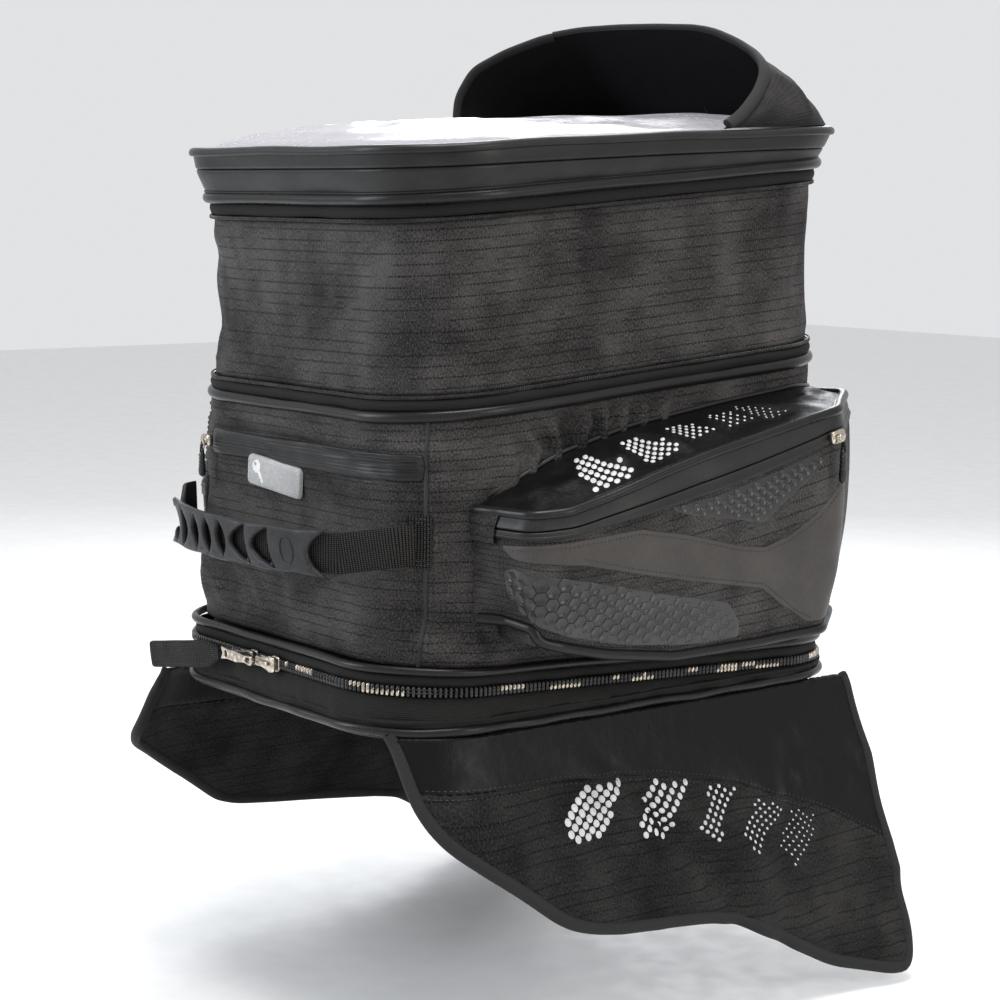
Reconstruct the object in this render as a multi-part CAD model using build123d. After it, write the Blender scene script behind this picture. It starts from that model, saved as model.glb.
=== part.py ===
from build123d import *
import math
import os

# Expandable motorcycle tank bag on a zipped base with two magnetic wings.
# Millimetres. +X is the rider's right, +Y points to the front of the bike, +Z is up.
# The origin is the centre of the base's underside, where the bag sits on the tank.

# ---------------------------------------------------------------- driving dimensions
BODY_X = 150.0          # half width of the bag body
BODY_Y = 185.0          # half length of the bag body
WAIST_Y = 187.0         # half length where the walls start to flare to the base
BASE_X = 148.0          # half width at the base zip
BASE_Y = 200.0          # half length at the base zip
RIM_X = 155.6           # half width at the lid rim
RIM_Y = 195.2           # half length at the lid rim
CORNER = 70.0           # plan radius of the body's corners
RIM_CORNER = 66.0       # plan radius of the lid's corners

# Each zip lies in a plane that tips along the bag's length: (height at y = 0, slope)
BASE_ZIP = (24.3, -0.044)
LOW_ZIP = (229.8, 0.08)     # lower half of the expander zip
HIGH_ZIP = (339.6, 0.08)    # upper half of the expander zip
RIM = (379.1, 0.053)        # top edge of the lid band

WALL = 4.0              # padded wall
TAPE = 2.0              # zip tape with its facing
GAP = 0.35              # clearance between pieces that part from each other
LID_SPLIT = 12.0        # main zip's centre line below the rim
VISOR_Y, VISOR_Z = 191.0, 396.0     # visor's hinge line
VISOR_TOP = 464.0

WING_TOP = -0.5         # wings hang from just under the base's edge
WING_FLARE = 0.35       # how far a wing spreads per millimetre it hangs
WING_THICK = 5.5
BINDING = 9.0
MAGNET_R, MAGNET_T = 18.0, 3.0

GRIP_R = 262.0          # plan radius of the handle's bow
GRIP_X = 98.0           # half length of the moulded grip
GRIP_Y = -230.0         # the grip's rearmost point
GRIP_Z = (103.0, 134.0)
STRAP_Z = (114.0, 139.0)
FAR = 400.0             # larger than the object, for cutting shapes


# ---------------------------------------------------------------- helpers
def tilted(level, offset=0.0):
    """Plane through (height, slope) level, raised by offset."""
    height, slope = level
    return Plane(origin=(0, 0, height + offset), x_dir=(1, 0, 0), z_dir=(0, -slope, 1))


def outline(half_x, half_y, radius):
    return RectangleRounded(2 * half_x, 2 * half_y, radius)


def ring(half_x, half_y, radius, width, level, low, high):
    """Flat band round the bag, between two heights above a tilted plane."""
    face = outline(half_x, half_y, radius) - outline(half_x - width, half_y - width, radius - width)
    return extrude(tilted(level, low) * face, high - low)


def plate(half_x, half_y, radius, level, low, high):
    return extrude(tilted(level, low) * outline(half_x, half_y, radius), high - low)


def roll(half_x, half_y, radius, tube, level, offset):
    """Round piping that runs all the way round."""
    path = (tilted(level, offset) * outline(half_x, half_y, radius)).wire()
    start = Plane(origin=path @ 0, z_dir=path % 0)
    return sweep(start * Circle(tube), path=path)


def between(low, low_offset, high, high_offset):
    """Everything between two tilted planes."""
    def edge(level, offset, y):
        return level[0] + offset + level[1] * y
    points = [
        (-FAR, edge(low, low_offset, -FAR)),
        (FAR, edge(low, low_offset, FAR)),
        (FAR, edge(high, high_offset, FAR)),
        (-FAR, edge(high, high_offset, -FAR)),
    ]
    return extrude(Plane.YZ * make_face(Polyline(points, close=True)), FAR, both=True)


def body_form(offset):
    """Solid inside the bag's wall line, moved outwards by offset."""
    sections = [(-10.0, BASE_X, BASE_Y + 1.0), (80.0, BODY_X, WAIST_Y), (400.0, BODY_X, BODY_Y - 1.0)]
    faces = [
        Plane.XY.offset(z) * outline(x + offset, y + offset, CORNER + offset)
        for z, x, y in sections
    ]
    return loft(faces, ruled=True)


def body_skin(inside, outside):
    return body_form(outside) - body_form(inside)


def block(x, y, z):
    """Box from three (low, high) pairs."""
    size = [pair[1] - pair[0] for pair in (x, y, z)]
    centre = [(pair[0] + pair[1]) / 2 for pair in (x, y, z)]
    return Pos(*centre) * Box(*size)


def side_profile(points, x_low, x_high):
    """Closed outline in the Y-Z plane, run from x_low to x_high."""
    face = make_face(Polyline(points, close=True))
    return extrude(Plane.YZ.offset(x_low) * face, x_high - x_low)


def other_side(shape):
    return mirror(shape, about=Plane.YZ)


def save(name, shape):
    shape = shape if isinstance(shape, (Solid, Compound)) else Compound(list(shape))
    export_step(shape, f"parts/{name}.step")


# ---------------------------------------------------------------- base
FLAT = (0.0, 0.0)
GRIP_SHEET = (146.0, 196.0, 68.0)       # half width, half length, corner radius
BASE_BOARD = (146.5, 198.0, 69.0)
BASE_EDGE = (150.9, 202.5, 72.0)        # centre line of the piping round the base
SHEET_TOP, BOARD_TOP = 2.0, 8.0
EDGE_R, EDGE_Z = 3.7, 5.8
BASE_TEETH = (BASE_X + 1.2, BASE_Y + 1.2, CORNER, 3.0)      # the last value is the row's width
BASE_TOOTH = 3.0        # height of half the base zip's teeth
BASE_GAP = 0.25         # half the gap between the base zip's two rows


def make_base():
    save("base_grip_sheet", plate(*GRIP_SHEET, FLAT, 0, SHEET_TOP))
    save("base_panel", plate(*BASE_BOARD, FLAT, SHEET_TOP, BOARD_TOP))
    save("base_edge_piping", roll(*BASE_EDGE, EDGE_R, FLAT, EDGE_Z))
    side = body_skin(-TAPE, 0) & between(FLAT, EDGE_Z + EDGE_R + 0.3, BASE_ZIP, -BASE_TOOTH - 0.4)
    save("base_zip_tape_lower", side)
    save("base_zip_teeth_lower", ring(*BASE_TEETH, BASE_ZIP, -BASE_TOOTH, -BASE_GAP))


# (y, z) of the wings' corners and the radius at each
RIGHT_CORNERS = {(-181, -50): 38, (-90, -124): 80, (40, -137): 120, (120, -184): 90, (197, -203): 24,
                 (202, -130): 60}
LEFT_CORNERS = {(-242, -36): 38, (-120, -118): 80, (40, -137): 120, (120, -184): 90, (197, -203): 24,
                (202, -130): 60}
WING_X = 151.5          # half width between the wings at their top edge
WING_START = {True: -190, False: -200}      # rear end of the top edge, right wing and left wing
WING_END = 176          # front end of the top edge
WING_REAR = {True: 203.0, False: 232.0}     # how far back the corner that a wing hangs round lies
WING_LOW = -215.0       # below the lowest edge of both wings
MAGNETS = ((-70, -80), (30, -95), (130, -125))      # (y, z)
PROUD = 0.8             # how far the binding stands out of the wing


def wing_outline(right):
    """Closed edge of a wing seen from the side; the left one is draped further back."""
    start, end = (WING_START[right], WING_TOP), (WING_END, WING_TOP)
    corners = RIGHT_CORNERS if right else LEFT_CORNERS
    edge = FilletPolyline(start, *corners, end, radius=list(corners.values()))
    return make_face([edge, Line(end, start)])


def wing_form(offset, right):
    """Flared surface that a wing hangs on, moved outwards by offset."""
    rear = WING_REAR[right]
    faces = []
    for z in (WING_LOW, 5.0):
        grow = WING_FLARE * (WING_TOP - z) + offset
        half_x = WING_X + grow
        face = Rectangle(2 * half_x, rear + grow + FAR, align=(Align.CENTER, Align.MIN))
        face = fillet(face.vertices().group_by(Axis.Y)[0], CORNER + grow)
        faces.append(Pos(0, -rear - grow, z) * face)
    return loft(faces, ruled=True)


def make_wing(right):
    name = "right" if right else "left"
    edge = wing_outline(right)
    inner = offset(edge, -BINDING)
    half = WING_THICK / 2
    skin = wing_form(half, right) - wing_form(-half, right)
    border_skin = wing_form(half + PROUD, right) - wing_form(-half - PROUD, right)
    through = extrude(Plane.YZ * inner, FAR)
    hole = offset(edge, GAP - BINDING)
    border = extrude(Plane.YZ * (edge - hole), FAR)
    panel = skin & through
    lean = math.degrees(math.atan(WING_FLARE))
    magnets = []
    for y, z in MAGNETS:
        x = WING_X + WING_FLARE * (WING_TOP - z)
        seat = Pos(x, y, z) * Rot(0, 90 - lean, 0)
        magnets.append(seat * Cylinder(MAGNET_R, MAGNET_T))
        panel -= seat * Cylinder(MAGNET_R + GAP, MAGNET_T + GAP)
    turn = (lambda shape: shape) if right else other_side
    save(f"wing_{name}_panel", turn(panel))
    hanging = block((60, FAR), (-FAR, FAR), (WING_LOW - 5, WING_TOP - 2))
    save(f"wing_{name}_binding", turn(border_skin & border & hanging))
    save(f"wing_{name}_magnets", turn(Compound(magnets)))


# ---------------------------------------------------------------- lower bag
WELT = (150.5, 200.5, CORNER + 1, 3.2)          # half width, half length, corner radius, tube radius
LOW_PIPING = (150.2, 184.8, CORNER, 4.0)
COIL = (BODY_X + 0.6, BODY_Y + 0.6, CORNER, 2.5)    # both expander coils; the last value is the width
TAPE_RING = (BODY_X, BODY_Y, CORNER, TAPE)
COIL_HALF = 1.5         # half the height of an expander coil
# heights above the base zip
BASE_TAPE_TOP, WELT_UP, WALL_START = 10.0, 13.4, 17.0
FLOOR = (3.5, 6.5)
STIFFENER = (6.6, 9.1)
# heights below the expander's lower zip
LOW_TAPE, LOW_PIPING_DOWN, WALL_STOP = 8.0, 12.2, 16.4


def make_lower_bag():
    save("base_zip_teeth_upper", ring(*BASE_TEETH, BASE_ZIP, BASE_GAP, BASE_TOOTH))
    tape = between(BASE_ZIP, BASE_TOOTH + 0.3, BASE_ZIP, BASE_TAPE_TOP)
    save("base_zip_tape_upper", body_skin(-TAPE, 0) & tape)
    save("base_welt", roll(*WELT, BASE_ZIP, WELT_UP))
    save("bag_wall", body_skin(-WALL, 0) & between(BASE_ZIP, WALL_START, LOW_ZIP, -WALL_STOP))
    save("bag_floor", body_form(-WALL - 0.5) & between(BASE_ZIP, FLOOR[0], BASE_ZIP, FLOOR[1]))
    stiffener = between(BASE_ZIP, STIFFENER[0], BASE_ZIP, STIFFENER[1])
    save("floor_stiffener", body_form(-WALL - 2) & stiffener)
    save("expander_piping_lower", roll(*LOW_PIPING, LOW_ZIP, -LOW_PIPING_DOWN))
    save("expander_tape_lower", ring(*TAPE_RING, LOW_ZIP, -LOW_TAPE, -COIL_HALF - 0.1))
    save("expander_teeth_lower", ring(*COIL, LOW_ZIP, -COIL_HALF, COIL_HALF))


KEY_ZIP = (166.0, -0.06)        # centre of the key pocket's zip: (height at x = 0, slope)
KEY_ENDS = (-98.0, 146.0)       # the zip's left and right ends
KEY_HALF = 13.0                 # half the height of the zip's facing
KEY_FACE = -189.2               # y where the slider meets the facing
KEY_SLIDER_X = -96.0
BADGE = (66.0, 21.0, 5.0, 2.2)  # width, height, corner radius, thickness
BADGE_AT = (-17.0, -189.0, 151.2)
SLEEVE_R, CORD_R = 2.9, 1.1     # the rubber sleeve on a pull, and the cord that it hangs from


def make_key_pocket():
    def zip_height(x):
        return KEY_ZIP[0] + KEY_ZIP[1] * x
    left, right = KEY_ENDS
    band = [(left, KEY_HALF), (right, KEY_HALF), (right, -KEY_HALF), (left, -KEY_HALF)]
    points = [(x, zip_height(x) + dz) for x, dz in band]
    strip = extrude(Plane.XZ * make_face(Polyline(points, close=True)), FAR)
    save("key_pocket_zip", body_skin(0.3, 2.4) & strip)
    pouch = body_skin(-9, -5) & block((left + 6, 118), (-FAR, 0), (70, 176))
    save("key_pocket_pouch", pouch)
    width, height, radius, thick = BADGE
    badge = Rot(90, 0, 0) * extrude(RectangleRounded(width, height, radius), thick)
    lean = math.degrees(math.atan(-KEY_ZIP[1]))
    save("key_pocket_badge", Pos(*BADGE_AT) * Rot(0, lean, 0) * badge)
    # the slider rides over the zip's left end, and its pull hangs from it
    x, y, z = KEY_SLIDER_X, KEY_FACE, zip_height(KEY_SLIDER_X)
    slider = block((x - 6, x + 6), (y - 5, y), (z - 4, z + 4))
    slider += block((x - 3, x + 3), (y - 7, y - 5), (z - 1.3, z + 1.7))
    save("key_zip_slider", slider)
    pull = Pos(x, y - 6.3, z - 16.4) * Cylinder(SLEEVE_R, 17)
    pull += Pos(x, y - 6.3, z - 5.3) * Cylinder(CORD_R, 6)
    save("key_zip_pull", pull)


# ---------------------------------------------------------------- side pockets
POCKET_OUT = 207.0      # x of the outer face
POCKET_REAR, POCKET_FRONT = -150.0, 180.0
POCKET_WALL = 3.0
POCKET_BEND = -48.0     # y where the zip starts to climb
POCKET_CLIMB = 0.236    # slope of the zip in front of the bend
POCKET_REST = 112.0     # y of the closed zip's slider
POCKET_SLIDER = (5.0, 13.0, 9.0)
# (y, height of the seam on the wall, height of the lip, height of the bottom edge)
POCKET_STATIONS = [
    (-152, 146, 138, 86),
    (-128, 157, 152, 70),
    (-75, 179, 158, 53),
    (-18, 193, 178, 44),
    (60, 204, 196, 45),
    (130, 212, 205, 48),
    (182, 206, 204, 51),
]


def pocket_zip_height(y):
    """The pocket's zip: level at the rear, then a straight climb to the front."""
    along = y - POCKET_BEND
    return 146.0 + POCKET_CLIMB * max(along, 0.0) + 0.05 * min(along, 0.0)


def pocket_form(inset):
    """Solid pocket, its walls moved inwards by inset."""
    def section(column):
        top = [(row[0], row[column] - inset) for row in POCKET_STATIONS]
        bottom = [(row[0], row[3] + inset) for row in reversed(POCKET_STATIONS)]
        return make_face(Polyline(top + bottom, close=True))
    inner, outer = Plane.YZ.offset(BODY_X + 0.4), Plane.YZ.offset(POCKET_OUT + 2)
    raw = loft([inner * section(1), outer * section(2)], ruled=True)
    x_out = POCKET_OUT - inset
    rear, front = POCKET_REAR + inset, POCKET_FRONT - 1.4 * inset
    plan = [(100, rear), (166, rear), (x_out - 8, rear + 12), (x_out, POCKET_REAR + 32),
            (x_out, 122 - inset), (150, front), (100, front)]
    return raw & extrude(Plane.XY * make_face(Polyline(plan, close=True)), FAR)


def zip_strip(low, high):
    """Strip between two heights measured from the pocket's zip, right through the pocket."""
    ys = [POCKET_REAR - 20, POCKET_BEND, POCKET_FRONT + 20]
    lower = [(y, pocket_zip_height(y) + low) for y in ys]
    upper = [(y, pocket_zip_height(y) + high) for y in reversed(ys)]
    return side_profile(lower + upper, 100, 260)


def make_pocket(right):
    name = "right" if right else "left"
    turn = (lambda shape: shape) if right else other_side
    hollow = pocket_form(0) - pocket_form(POCKET_WALL)
    hollow -= body_form(0.4)
    hollow = hollow & (zip_strip(GAP, 200) + zip_strip(-200, -GAP))
    save(f"pocket_{name}_top", turn(hollow & zip_strip(GAP, 200)))
    save(f"pocket_{name}_shell", turn(hollow & zip_strip(-200, -GAP)))
    sleeve = pocket_form(-1.6) - pocket_form(-0.2) - body_form(0.4)
    save(f"pocket_{name}_zip_upper", turn(sleeve & zip_strip(GAP, 10)))
    save(f"pocket_{name}_zip_lower", turn(sleeve & zip_strip(-10, -GAP)))
    # slider near the front end, with a sleeve that hangs from it
    z_rest = pocket_zip_height(POCKET_REST)
    x_face = POCKET_OUT + 2.0
    climb = math.degrees(math.atan(POCKET_CLIMB))
    slider = Pos(x_face + 2.6, POCKET_REST, z_rest) * Rot(climb, 0, 0) * Box(*POCKET_SLIDER)
    save(f"pocket_{name}_zip_slider", turn(slider))
    pull = Pos(x_face + 8.4, POCKET_REST, z_rest - 20) * Cylinder(SLEEVE_R, 22)
    pull += Pos(x_face + 8.4, POCKET_REST, z_rest - 6) * Cylinder(CORD_R, 6)
    save(f"pocket_{name}_zip_pull", turn(pull))


# ---------------------------------------------------------------- handle
def bow(inner, outer, half_x, z):
    """Part of a flat ring that follows the handle's bow."""
    centre_y = GRIP_Y + GRIP_R
    band = extrude(Circle(outer) - Circle(inner), z[1] - z[0])
    return Pos(0, centre_y, z[0]) * band & block((-half_x, half_x), (-FAR, -150), z)


GRIP_THICK, STRAP_THICK = 7.0, 2.7
SLOT_PITCH, SLOTS = 24, 7
SLOT = (7.0, 10.5)              # half width and half height of a slot
ARM_START = (GRIP_X + 1.8, -208.3)
ARM_END = (134.0, -176.0)       # where an arm of the webbing meets the corner seam


def make_handle():
    grip = bow(GRIP_R - GRIP_THICK, GRIP_R, GRIP_X, GRIP_Z)
    middle = sum(GRIP_Z) / 2
    for number in range(SLOTS):
        slot = extrude(Plane.XZ * Ellipse(*SLOT), FAR, both=True)
        grip -= Pos(SLOT_PITCH * (number - SLOTS // 2), 0, middle) * slot
    save("handle_grip", grip)
    # webbing: in front of the grip, then out to the corner seams
    strap = bow(GRIP_R - GRIP_THICK - 0.3 - STRAP_THICK, GRIP_R - GRIP_THICK - 0.3, GRIP_X + 2, STRAP_Z)
    (x, y), (x_end, y_end) = ARM_START, ARM_END
    edge = Polyline((x, y), (x_end, y_end), (x_end + 1.8, y_end - 2), (x, y - STRAP_THICK), close=True)
    arm = extrude(Pos(0, 0, STRAP_Z[0]) * make_face(edge), STRAP_Z[1] - STRAP_Z[0])
    save("handle_webbing", strap + arm + other_side(arm))
    anchor = body_skin(0.3, 2.3) & block((118, 146), (-FAR, -120), (STRAP_Z[0] - 4, STRAP_Z[1] + 2))
    save("handle_anchors", anchor + other_side(anchor))


# ---------------------------------------------------------------- base zip sliders
SLIDER_HALF = 6.0               # half the height of a base zip slider
FIRST_X, SECOND_X = (-8, 16), (-34, -11)
PULLER_X = (-44, -3)
TAB = (100.0, 3.0, 19.0)        # length, thickness and height of the pull tab
TAB_DROP = 0.17                 # slope at which the tab droops to the left


def make_base_sliders():
    z = BASE_ZIP[0] - BASE_ZIP[1] * BASE_Y
    y = -BASE_Y - 1.8
    tall = (z - SLIDER_HALF, z + SLIDER_HALF)
    first = block(FIRST_X, (y - 6, y), tall) + block((-7, 3), (y - 8.5, y - 6), (z - 2, z + 2))
    save("base_zip_slider", first)
    save("base_zip_slider_second", block(SECOND_X, (y - 6, y), tall))
    puller = block(PULLER_X, (y - 11.5, y - 8.8), (z - 4.5, z + 4.5))
    puller -= block((PULLER_X[0] + 4, PULLER_X[0] + 18), (y - 20, y), (z - 2.6, z + 2.6))
    save("base_zip_puller", puller)
    drop = math.degrees(math.atan(TAB_DROP))
    tab = Pos(-95, y - 10.2, z - 9.5) * Rot(0, -drop, 0) * Box(*TAB)
    save("base_pull_tab", tab)


# ---------------------------------------------------------------- expander and lid
HIGH_PIPING = (151.0, 186.5, CORNER, 3.0)
# heights above the expander's upper zip
HIGH_TAPE, HIGH_PIPING_UP, BAND_START = 9.4, 13.0, 16.0
BAND_LOW = (BODY_X + 0.5, WAIST_Y, RIM_CORNER + 2)      # the lid band's lower edge
BAND_THICK = 3.0
PARK_Y = 60.0           # where the sliders of the two long zips park, on the left side


def lid_flare(inset):
    """The lid band flares outwards as it rises."""
    low = tilted(HIGH_ZIP, BAND_START) * outline(*[size - inset for size in BAND_LOW])
    high = tilted(RIM, 0.0) * outline(RIM_X - inset, RIM_Y - inset, RIM_CORNER - inset)
    return loft([low, high], ruled=True)


def make_upper():
    gusset = body_skin(-3.5, -1.5) & between(LOW_ZIP, COIL_HALF + 0.4, HIGH_ZIP, -COIL_HALF - 0.4)
    save("expander_gusset", gusset)
    save("expander_teeth_upper", ring(*COIL, HIGH_ZIP, -COIL_HALF, COIL_HALF))
    save("expander_tape_upper", ring(*TAPE_RING, HIGH_ZIP, COIL_HALF + 0.3, HIGH_TAPE))
    save("lid_base_piping", roll(*HIGH_PIPING, HIGH_ZIP, HIGH_PIPING_UP))
    band = lid_flare(0) - lid_flare(BAND_THICK)
    save("main_zip_lower", band & between(HIGH_ZIP, BAND_START + 1, RIM, -LID_SPLIT - GAP))
    save("main_zip_upper", band & between(RIM, -LID_SPLIT + GAP, RIM, -1.2))
    # sliders of the two long zips
    y = PARK_Y
    z = LOW_ZIP[0] + LOW_ZIP[1] * y
    slider = block((-156.5, -151.2), (y - 8, y + 8), (z - 5, z + 5))
    save("expander_zip_slider", slider + block((-159.5, -156.5), (y - 4, y + 4), (z - 24, z + 2)))
    z = RIM[0] + RIM[1] * y - LID_SPLIT
    save("main_zip_slider", block((-163, -157.2), (y - 9, y + 9), (z - 5, z + 5)))
    save("main_zip_pull", block((-166.5, -164), (y - 4.5, y + 4.5), (z - 30, z + 2)))


MAP_PANEL = (149.3, 188.0, 63.0)
LINING = (148.8, 187.5, 63.0)
FILM = 1.5              # the window's thickness in this model
# the window's dome: (height above the rim, half width, half length, corner radius)
DOME = [(-5.8, 148, 187, 58), (10, 138, 176, 56), (19, 112, 150, 50), (24, 75, 110, 40)]


def dome(inset):
    faces = [tilted(RIM, h - inset) * outline(x - inset, y - inset, r - inset) for h, x, y, r in DOME]
    return loft(faces, ruled=True)


def make_lid():
    save("lid_rim", roll(RIM_X - 1.5, RIM_Y - 1.5, RIM_CORNER, 3.0, RIM, 2.4))
    save("lid_map_panel", plate(*MAP_PANEL, RIM, -8, -6))
    save("lid_lining", plate(*LINING, RIM, -9.6, -8.1))
    save("lid_window", (dome(0) - dome(FILM)) & between(RIM, DOME[0][0] + 0.1, RIM, 60))


# the visor's form: (height, half width, y of the front, corner radius)
VISOR_SECTIONS = [(392, 151.5, 194.3, 66), (472, 120, 137, 60)]
VISOR_THICK = 2.2
VISOR_FOOT = 395.0      # height of the centre of the arch that cuts the hood's top edge
VISOR_EDGE = [(63, 389), (110, 430), (126, 480)]     # (y, z) of the hood's open edge
FOLD_LEAN = 0.80        # slope of the seam between the stiff panel and the soft corners


def visor_form(inset):
    faces = []
    for z, half_x, front, radius in VISOR_SECTIONS:
        half_x, front, radius = half_x - inset, front - inset, radius - inset
        face = Rectangle(2 * half_x, 300, align=(Align.CENTER, Align.MAX))
        face = fillet(face.vertices().group_by(Axis.Y)[-1], radius)
        faces.append(Pos(0, front, z) * face)
    return loft(faces, ruled=True)


def make_visor():
    shell = visor_form(0) - visor_form(VISOR_THICK)
    arch = Ellipse(151, VISOR_TOP - VISOR_FOOT)
    shell = shell & extrude(Plane.XZ.offset(-FAR) * Pos(0, VISOR_FOOT) * arch, 2 * FAR)
    # the hood's open edge climbs from the rim to the top
    edge = VISOR_EDGE + [(FAR, VISOR_EDGE[-1][1]), (FAR, VISOR_EDGE[0][1])]
    shell = shell & side_profile(edge, -FAR, FAR)
    # the stiff panel is what stays above the lid when it folds; the corners are soft gussets
    front, cut = VISOR_Y - 5, VISOR_Z + 1.8

    def seam(y, height):
        return (y, height + FOLD_LEAN * (VISOR_Y - y))
    above = [(VISOR_Y + 20, cut), seam(VISOR_Y, cut), seam(0, cut), (0, 700), (VISOR_Y + 20, 700)]
    below = [(front, VISOR_FOOT), seam(front, cut - 0.4), seam(0, cut - 0.4), (0, VISOR_FOOT - 10)]
    save("visor_panel", shell & side_profile(above, -FAR, FAR))
    corners = shell & side_profile(below, -FAR, FAR)
    corners -= plate(170, 215, 60, RIM, -20, 6.2)
    save("visor_gusset_right", corners & block((0, FAR), (-FAR, FAR), (0, 600)))
    save("visor_gusset_left", corners & block((-FAR, 0), (-FAR, FAR), (0, 600)))


os.makedirs("parts", exist_ok=True)
make_base()
make_wing(True)
make_wing(False)
make_lower_bag()
make_key_pocket()
make_pocket(True)
make_pocket(False)
make_handle()
make_base_sliders()
make_upper()
make_lid()
make_visor()
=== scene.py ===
"""Looks of the expandable tank bag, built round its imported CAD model."""
import math

import bmesh
import bpy
import numpy as np
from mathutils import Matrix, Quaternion, Vector
from mathutils.geometry import delaunay_2d_cdt


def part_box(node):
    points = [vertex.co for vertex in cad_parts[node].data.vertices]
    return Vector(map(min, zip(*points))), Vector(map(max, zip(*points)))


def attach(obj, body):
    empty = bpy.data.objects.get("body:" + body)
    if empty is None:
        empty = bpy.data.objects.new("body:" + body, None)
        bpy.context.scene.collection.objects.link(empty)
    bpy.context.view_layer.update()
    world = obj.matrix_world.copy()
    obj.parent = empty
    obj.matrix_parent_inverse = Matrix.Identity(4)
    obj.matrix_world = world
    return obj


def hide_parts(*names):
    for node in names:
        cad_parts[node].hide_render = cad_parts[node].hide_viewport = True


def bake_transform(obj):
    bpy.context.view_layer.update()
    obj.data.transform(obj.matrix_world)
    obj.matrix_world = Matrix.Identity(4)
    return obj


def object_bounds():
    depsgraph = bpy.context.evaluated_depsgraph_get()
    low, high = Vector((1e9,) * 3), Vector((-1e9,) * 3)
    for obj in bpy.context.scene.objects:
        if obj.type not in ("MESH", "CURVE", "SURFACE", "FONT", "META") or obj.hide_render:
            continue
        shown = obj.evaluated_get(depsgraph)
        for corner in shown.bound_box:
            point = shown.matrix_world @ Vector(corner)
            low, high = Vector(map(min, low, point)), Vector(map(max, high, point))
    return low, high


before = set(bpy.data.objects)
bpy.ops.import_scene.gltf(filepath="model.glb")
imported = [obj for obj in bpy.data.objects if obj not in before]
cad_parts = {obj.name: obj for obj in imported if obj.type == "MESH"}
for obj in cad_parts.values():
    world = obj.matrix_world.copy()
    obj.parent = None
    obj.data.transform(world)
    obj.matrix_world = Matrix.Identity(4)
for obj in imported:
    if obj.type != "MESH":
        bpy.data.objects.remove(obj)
cad_box = [list(end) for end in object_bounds()]
MM = 0.001          # shapes are worked out in millimetres


# ---------------------------------------------------------------- numbers and noise
def smooth(t):
    t = np.clip(t, 0.0, 1.0)
    return t * t * (3 - 2 * t)


def ramp(x, low, high):
    """0 below low, 1 above high, smooth between; low may be the larger one."""
    return smooth((np.asarray(x, float) - low) / (high - low))


def hump(x, centre, half):
    """1 at the centre, falling smoothly to 0 at half on either side."""
    return smooth(1 - np.abs(np.asarray(x, float) - centre) / half)


def lattice(ix, iy, iz, seed):
    """Repeatable values from -1 to 1 on a grid of whole numbers."""
    h = (ix * 374761393 + iy * 668265263 + iz * 2147483647 + seed * 974634777) & 0xFFFFFFFF
    h = ((h ^ (h >> 13)) * 1274126177) & 0xFFFFFFFF
    return ((h ^ (h >> 16)) & 0xFFFF) / 32767.5 - 1


def noise(x, y, z, seed=0, octaves=2):
    """Smooth value noise, about -1 to 1, with features one unit across."""
    x, y, z = alike(x, y, z)
    total, size = np.zeros(x.shape), 1.0
    for octave in range(octaves):
        base = [np.floor(a * 2 ** octave).astype(np.int64) for a in (x, y, z)]
        part = [smooth(a * 2 ** octave - b) for a, b in zip((x, y, z), base)]
        value = np.zeros(x.shape)
        for i in (0, 1):
            for j in (0, 1):
                for k in (0, 1):
                    weight = np.ones(x.shape)
                    for step, p in zip((i, j, k), part):
                        weight = weight * (p if step else 1 - p)
                    value += weight * lattice(base[0] + i, base[1] + j, base[2] + k, seed + octave)
        total += value * size
        size *= 0.5
    return total


def creases(x, y, z, seed=0):
    """Like noise, but with sharp ridges, as in crumpled cloth."""
    large = 1 - 2 * np.abs(noise(x, y, z, seed, 1))
    small = 1 - 2 * np.abs(noise(2 * x, 2 * y, 2 * z, seed + 9, 1))
    return large + 0.5 * small


def through(*stations, blur=24.0):
    """A smooth function through (place, value) pairs, rounded off over blur."""
    xs, values = np.array(stations, float).T
    dense = np.linspace(xs[0] - 40, xs[-1] + 40, 600)
    level = np.interp(dense, xs, values)
    spread = max(1, int(blur / (dense[1] - dense[0])))
    kernel = np.hanning(spread + 2)[1:-1]
    padded = np.pad(level, spread, mode="edge")
    level = np.convolve(padded, kernel / kernel.sum(), mode="same")[spread:-spread]
    return lambda place: np.interp(place, dense, level)


def rounded_path(points, radii, step=3.0, closed=False):
    """Straight runs with rounded corners, as points about step apart. radii has one value per corner."""
    points = [np.array(p, float) for p in points]
    count = len(points)
    corners = range(count) if closed else range(1, count - 1)
    made = [] if closed else [points[0]]
    for i, radius in zip(corners, radii):
        before, here, after = points[i - 1], points[i], points[(i + 1) % count]
        to_before, to_after = before - here, after - here
        lengths = np.linalg.norm(to_before), np.linalg.norm(to_after)
        turn = math.acos(np.clip(np.dot(to_before, to_after) / lengths[0] / lengths[1], -1, 1))
        cut = min(radius / max(math.tan(turn / 2), 1e-3), 0.48 * min(lengths))
        start, end = here + to_before / lengths[0] * cut, here + to_after / lengths[1] * cut
        for t in np.linspace(0, 1, 9):
            made.append((1 - t) ** 2 * start + 2 * t * (1 - t) * here + t * t * end)
    if closed:
        made.append(made[0])
    else:
        made.append(points[-1])
    made = np.array(made)
    return resample(made, step)[:-1] if closed else resample(made, step)


def resample(points, step):
    """Points about step apart along a line."""
    lengths = np.linalg.norm(np.diff(points, axis=0), axis=1)
    along = np.concatenate([[0], np.cumsum(lengths)])
    places = np.linspace(0, along[-1], max(2, round(along[-1] / step) + 1))
    return np.stack([np.interp(places, along, points[:, k]) for k in range(points.shape[1])], 1)


def arc_length(points):
    """The length along a line up to each of its points."""
    return np.concatenate([[0], np.cumsum(np.linalg.norm(np.diff(points, axis=0), axis=1))])


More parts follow.
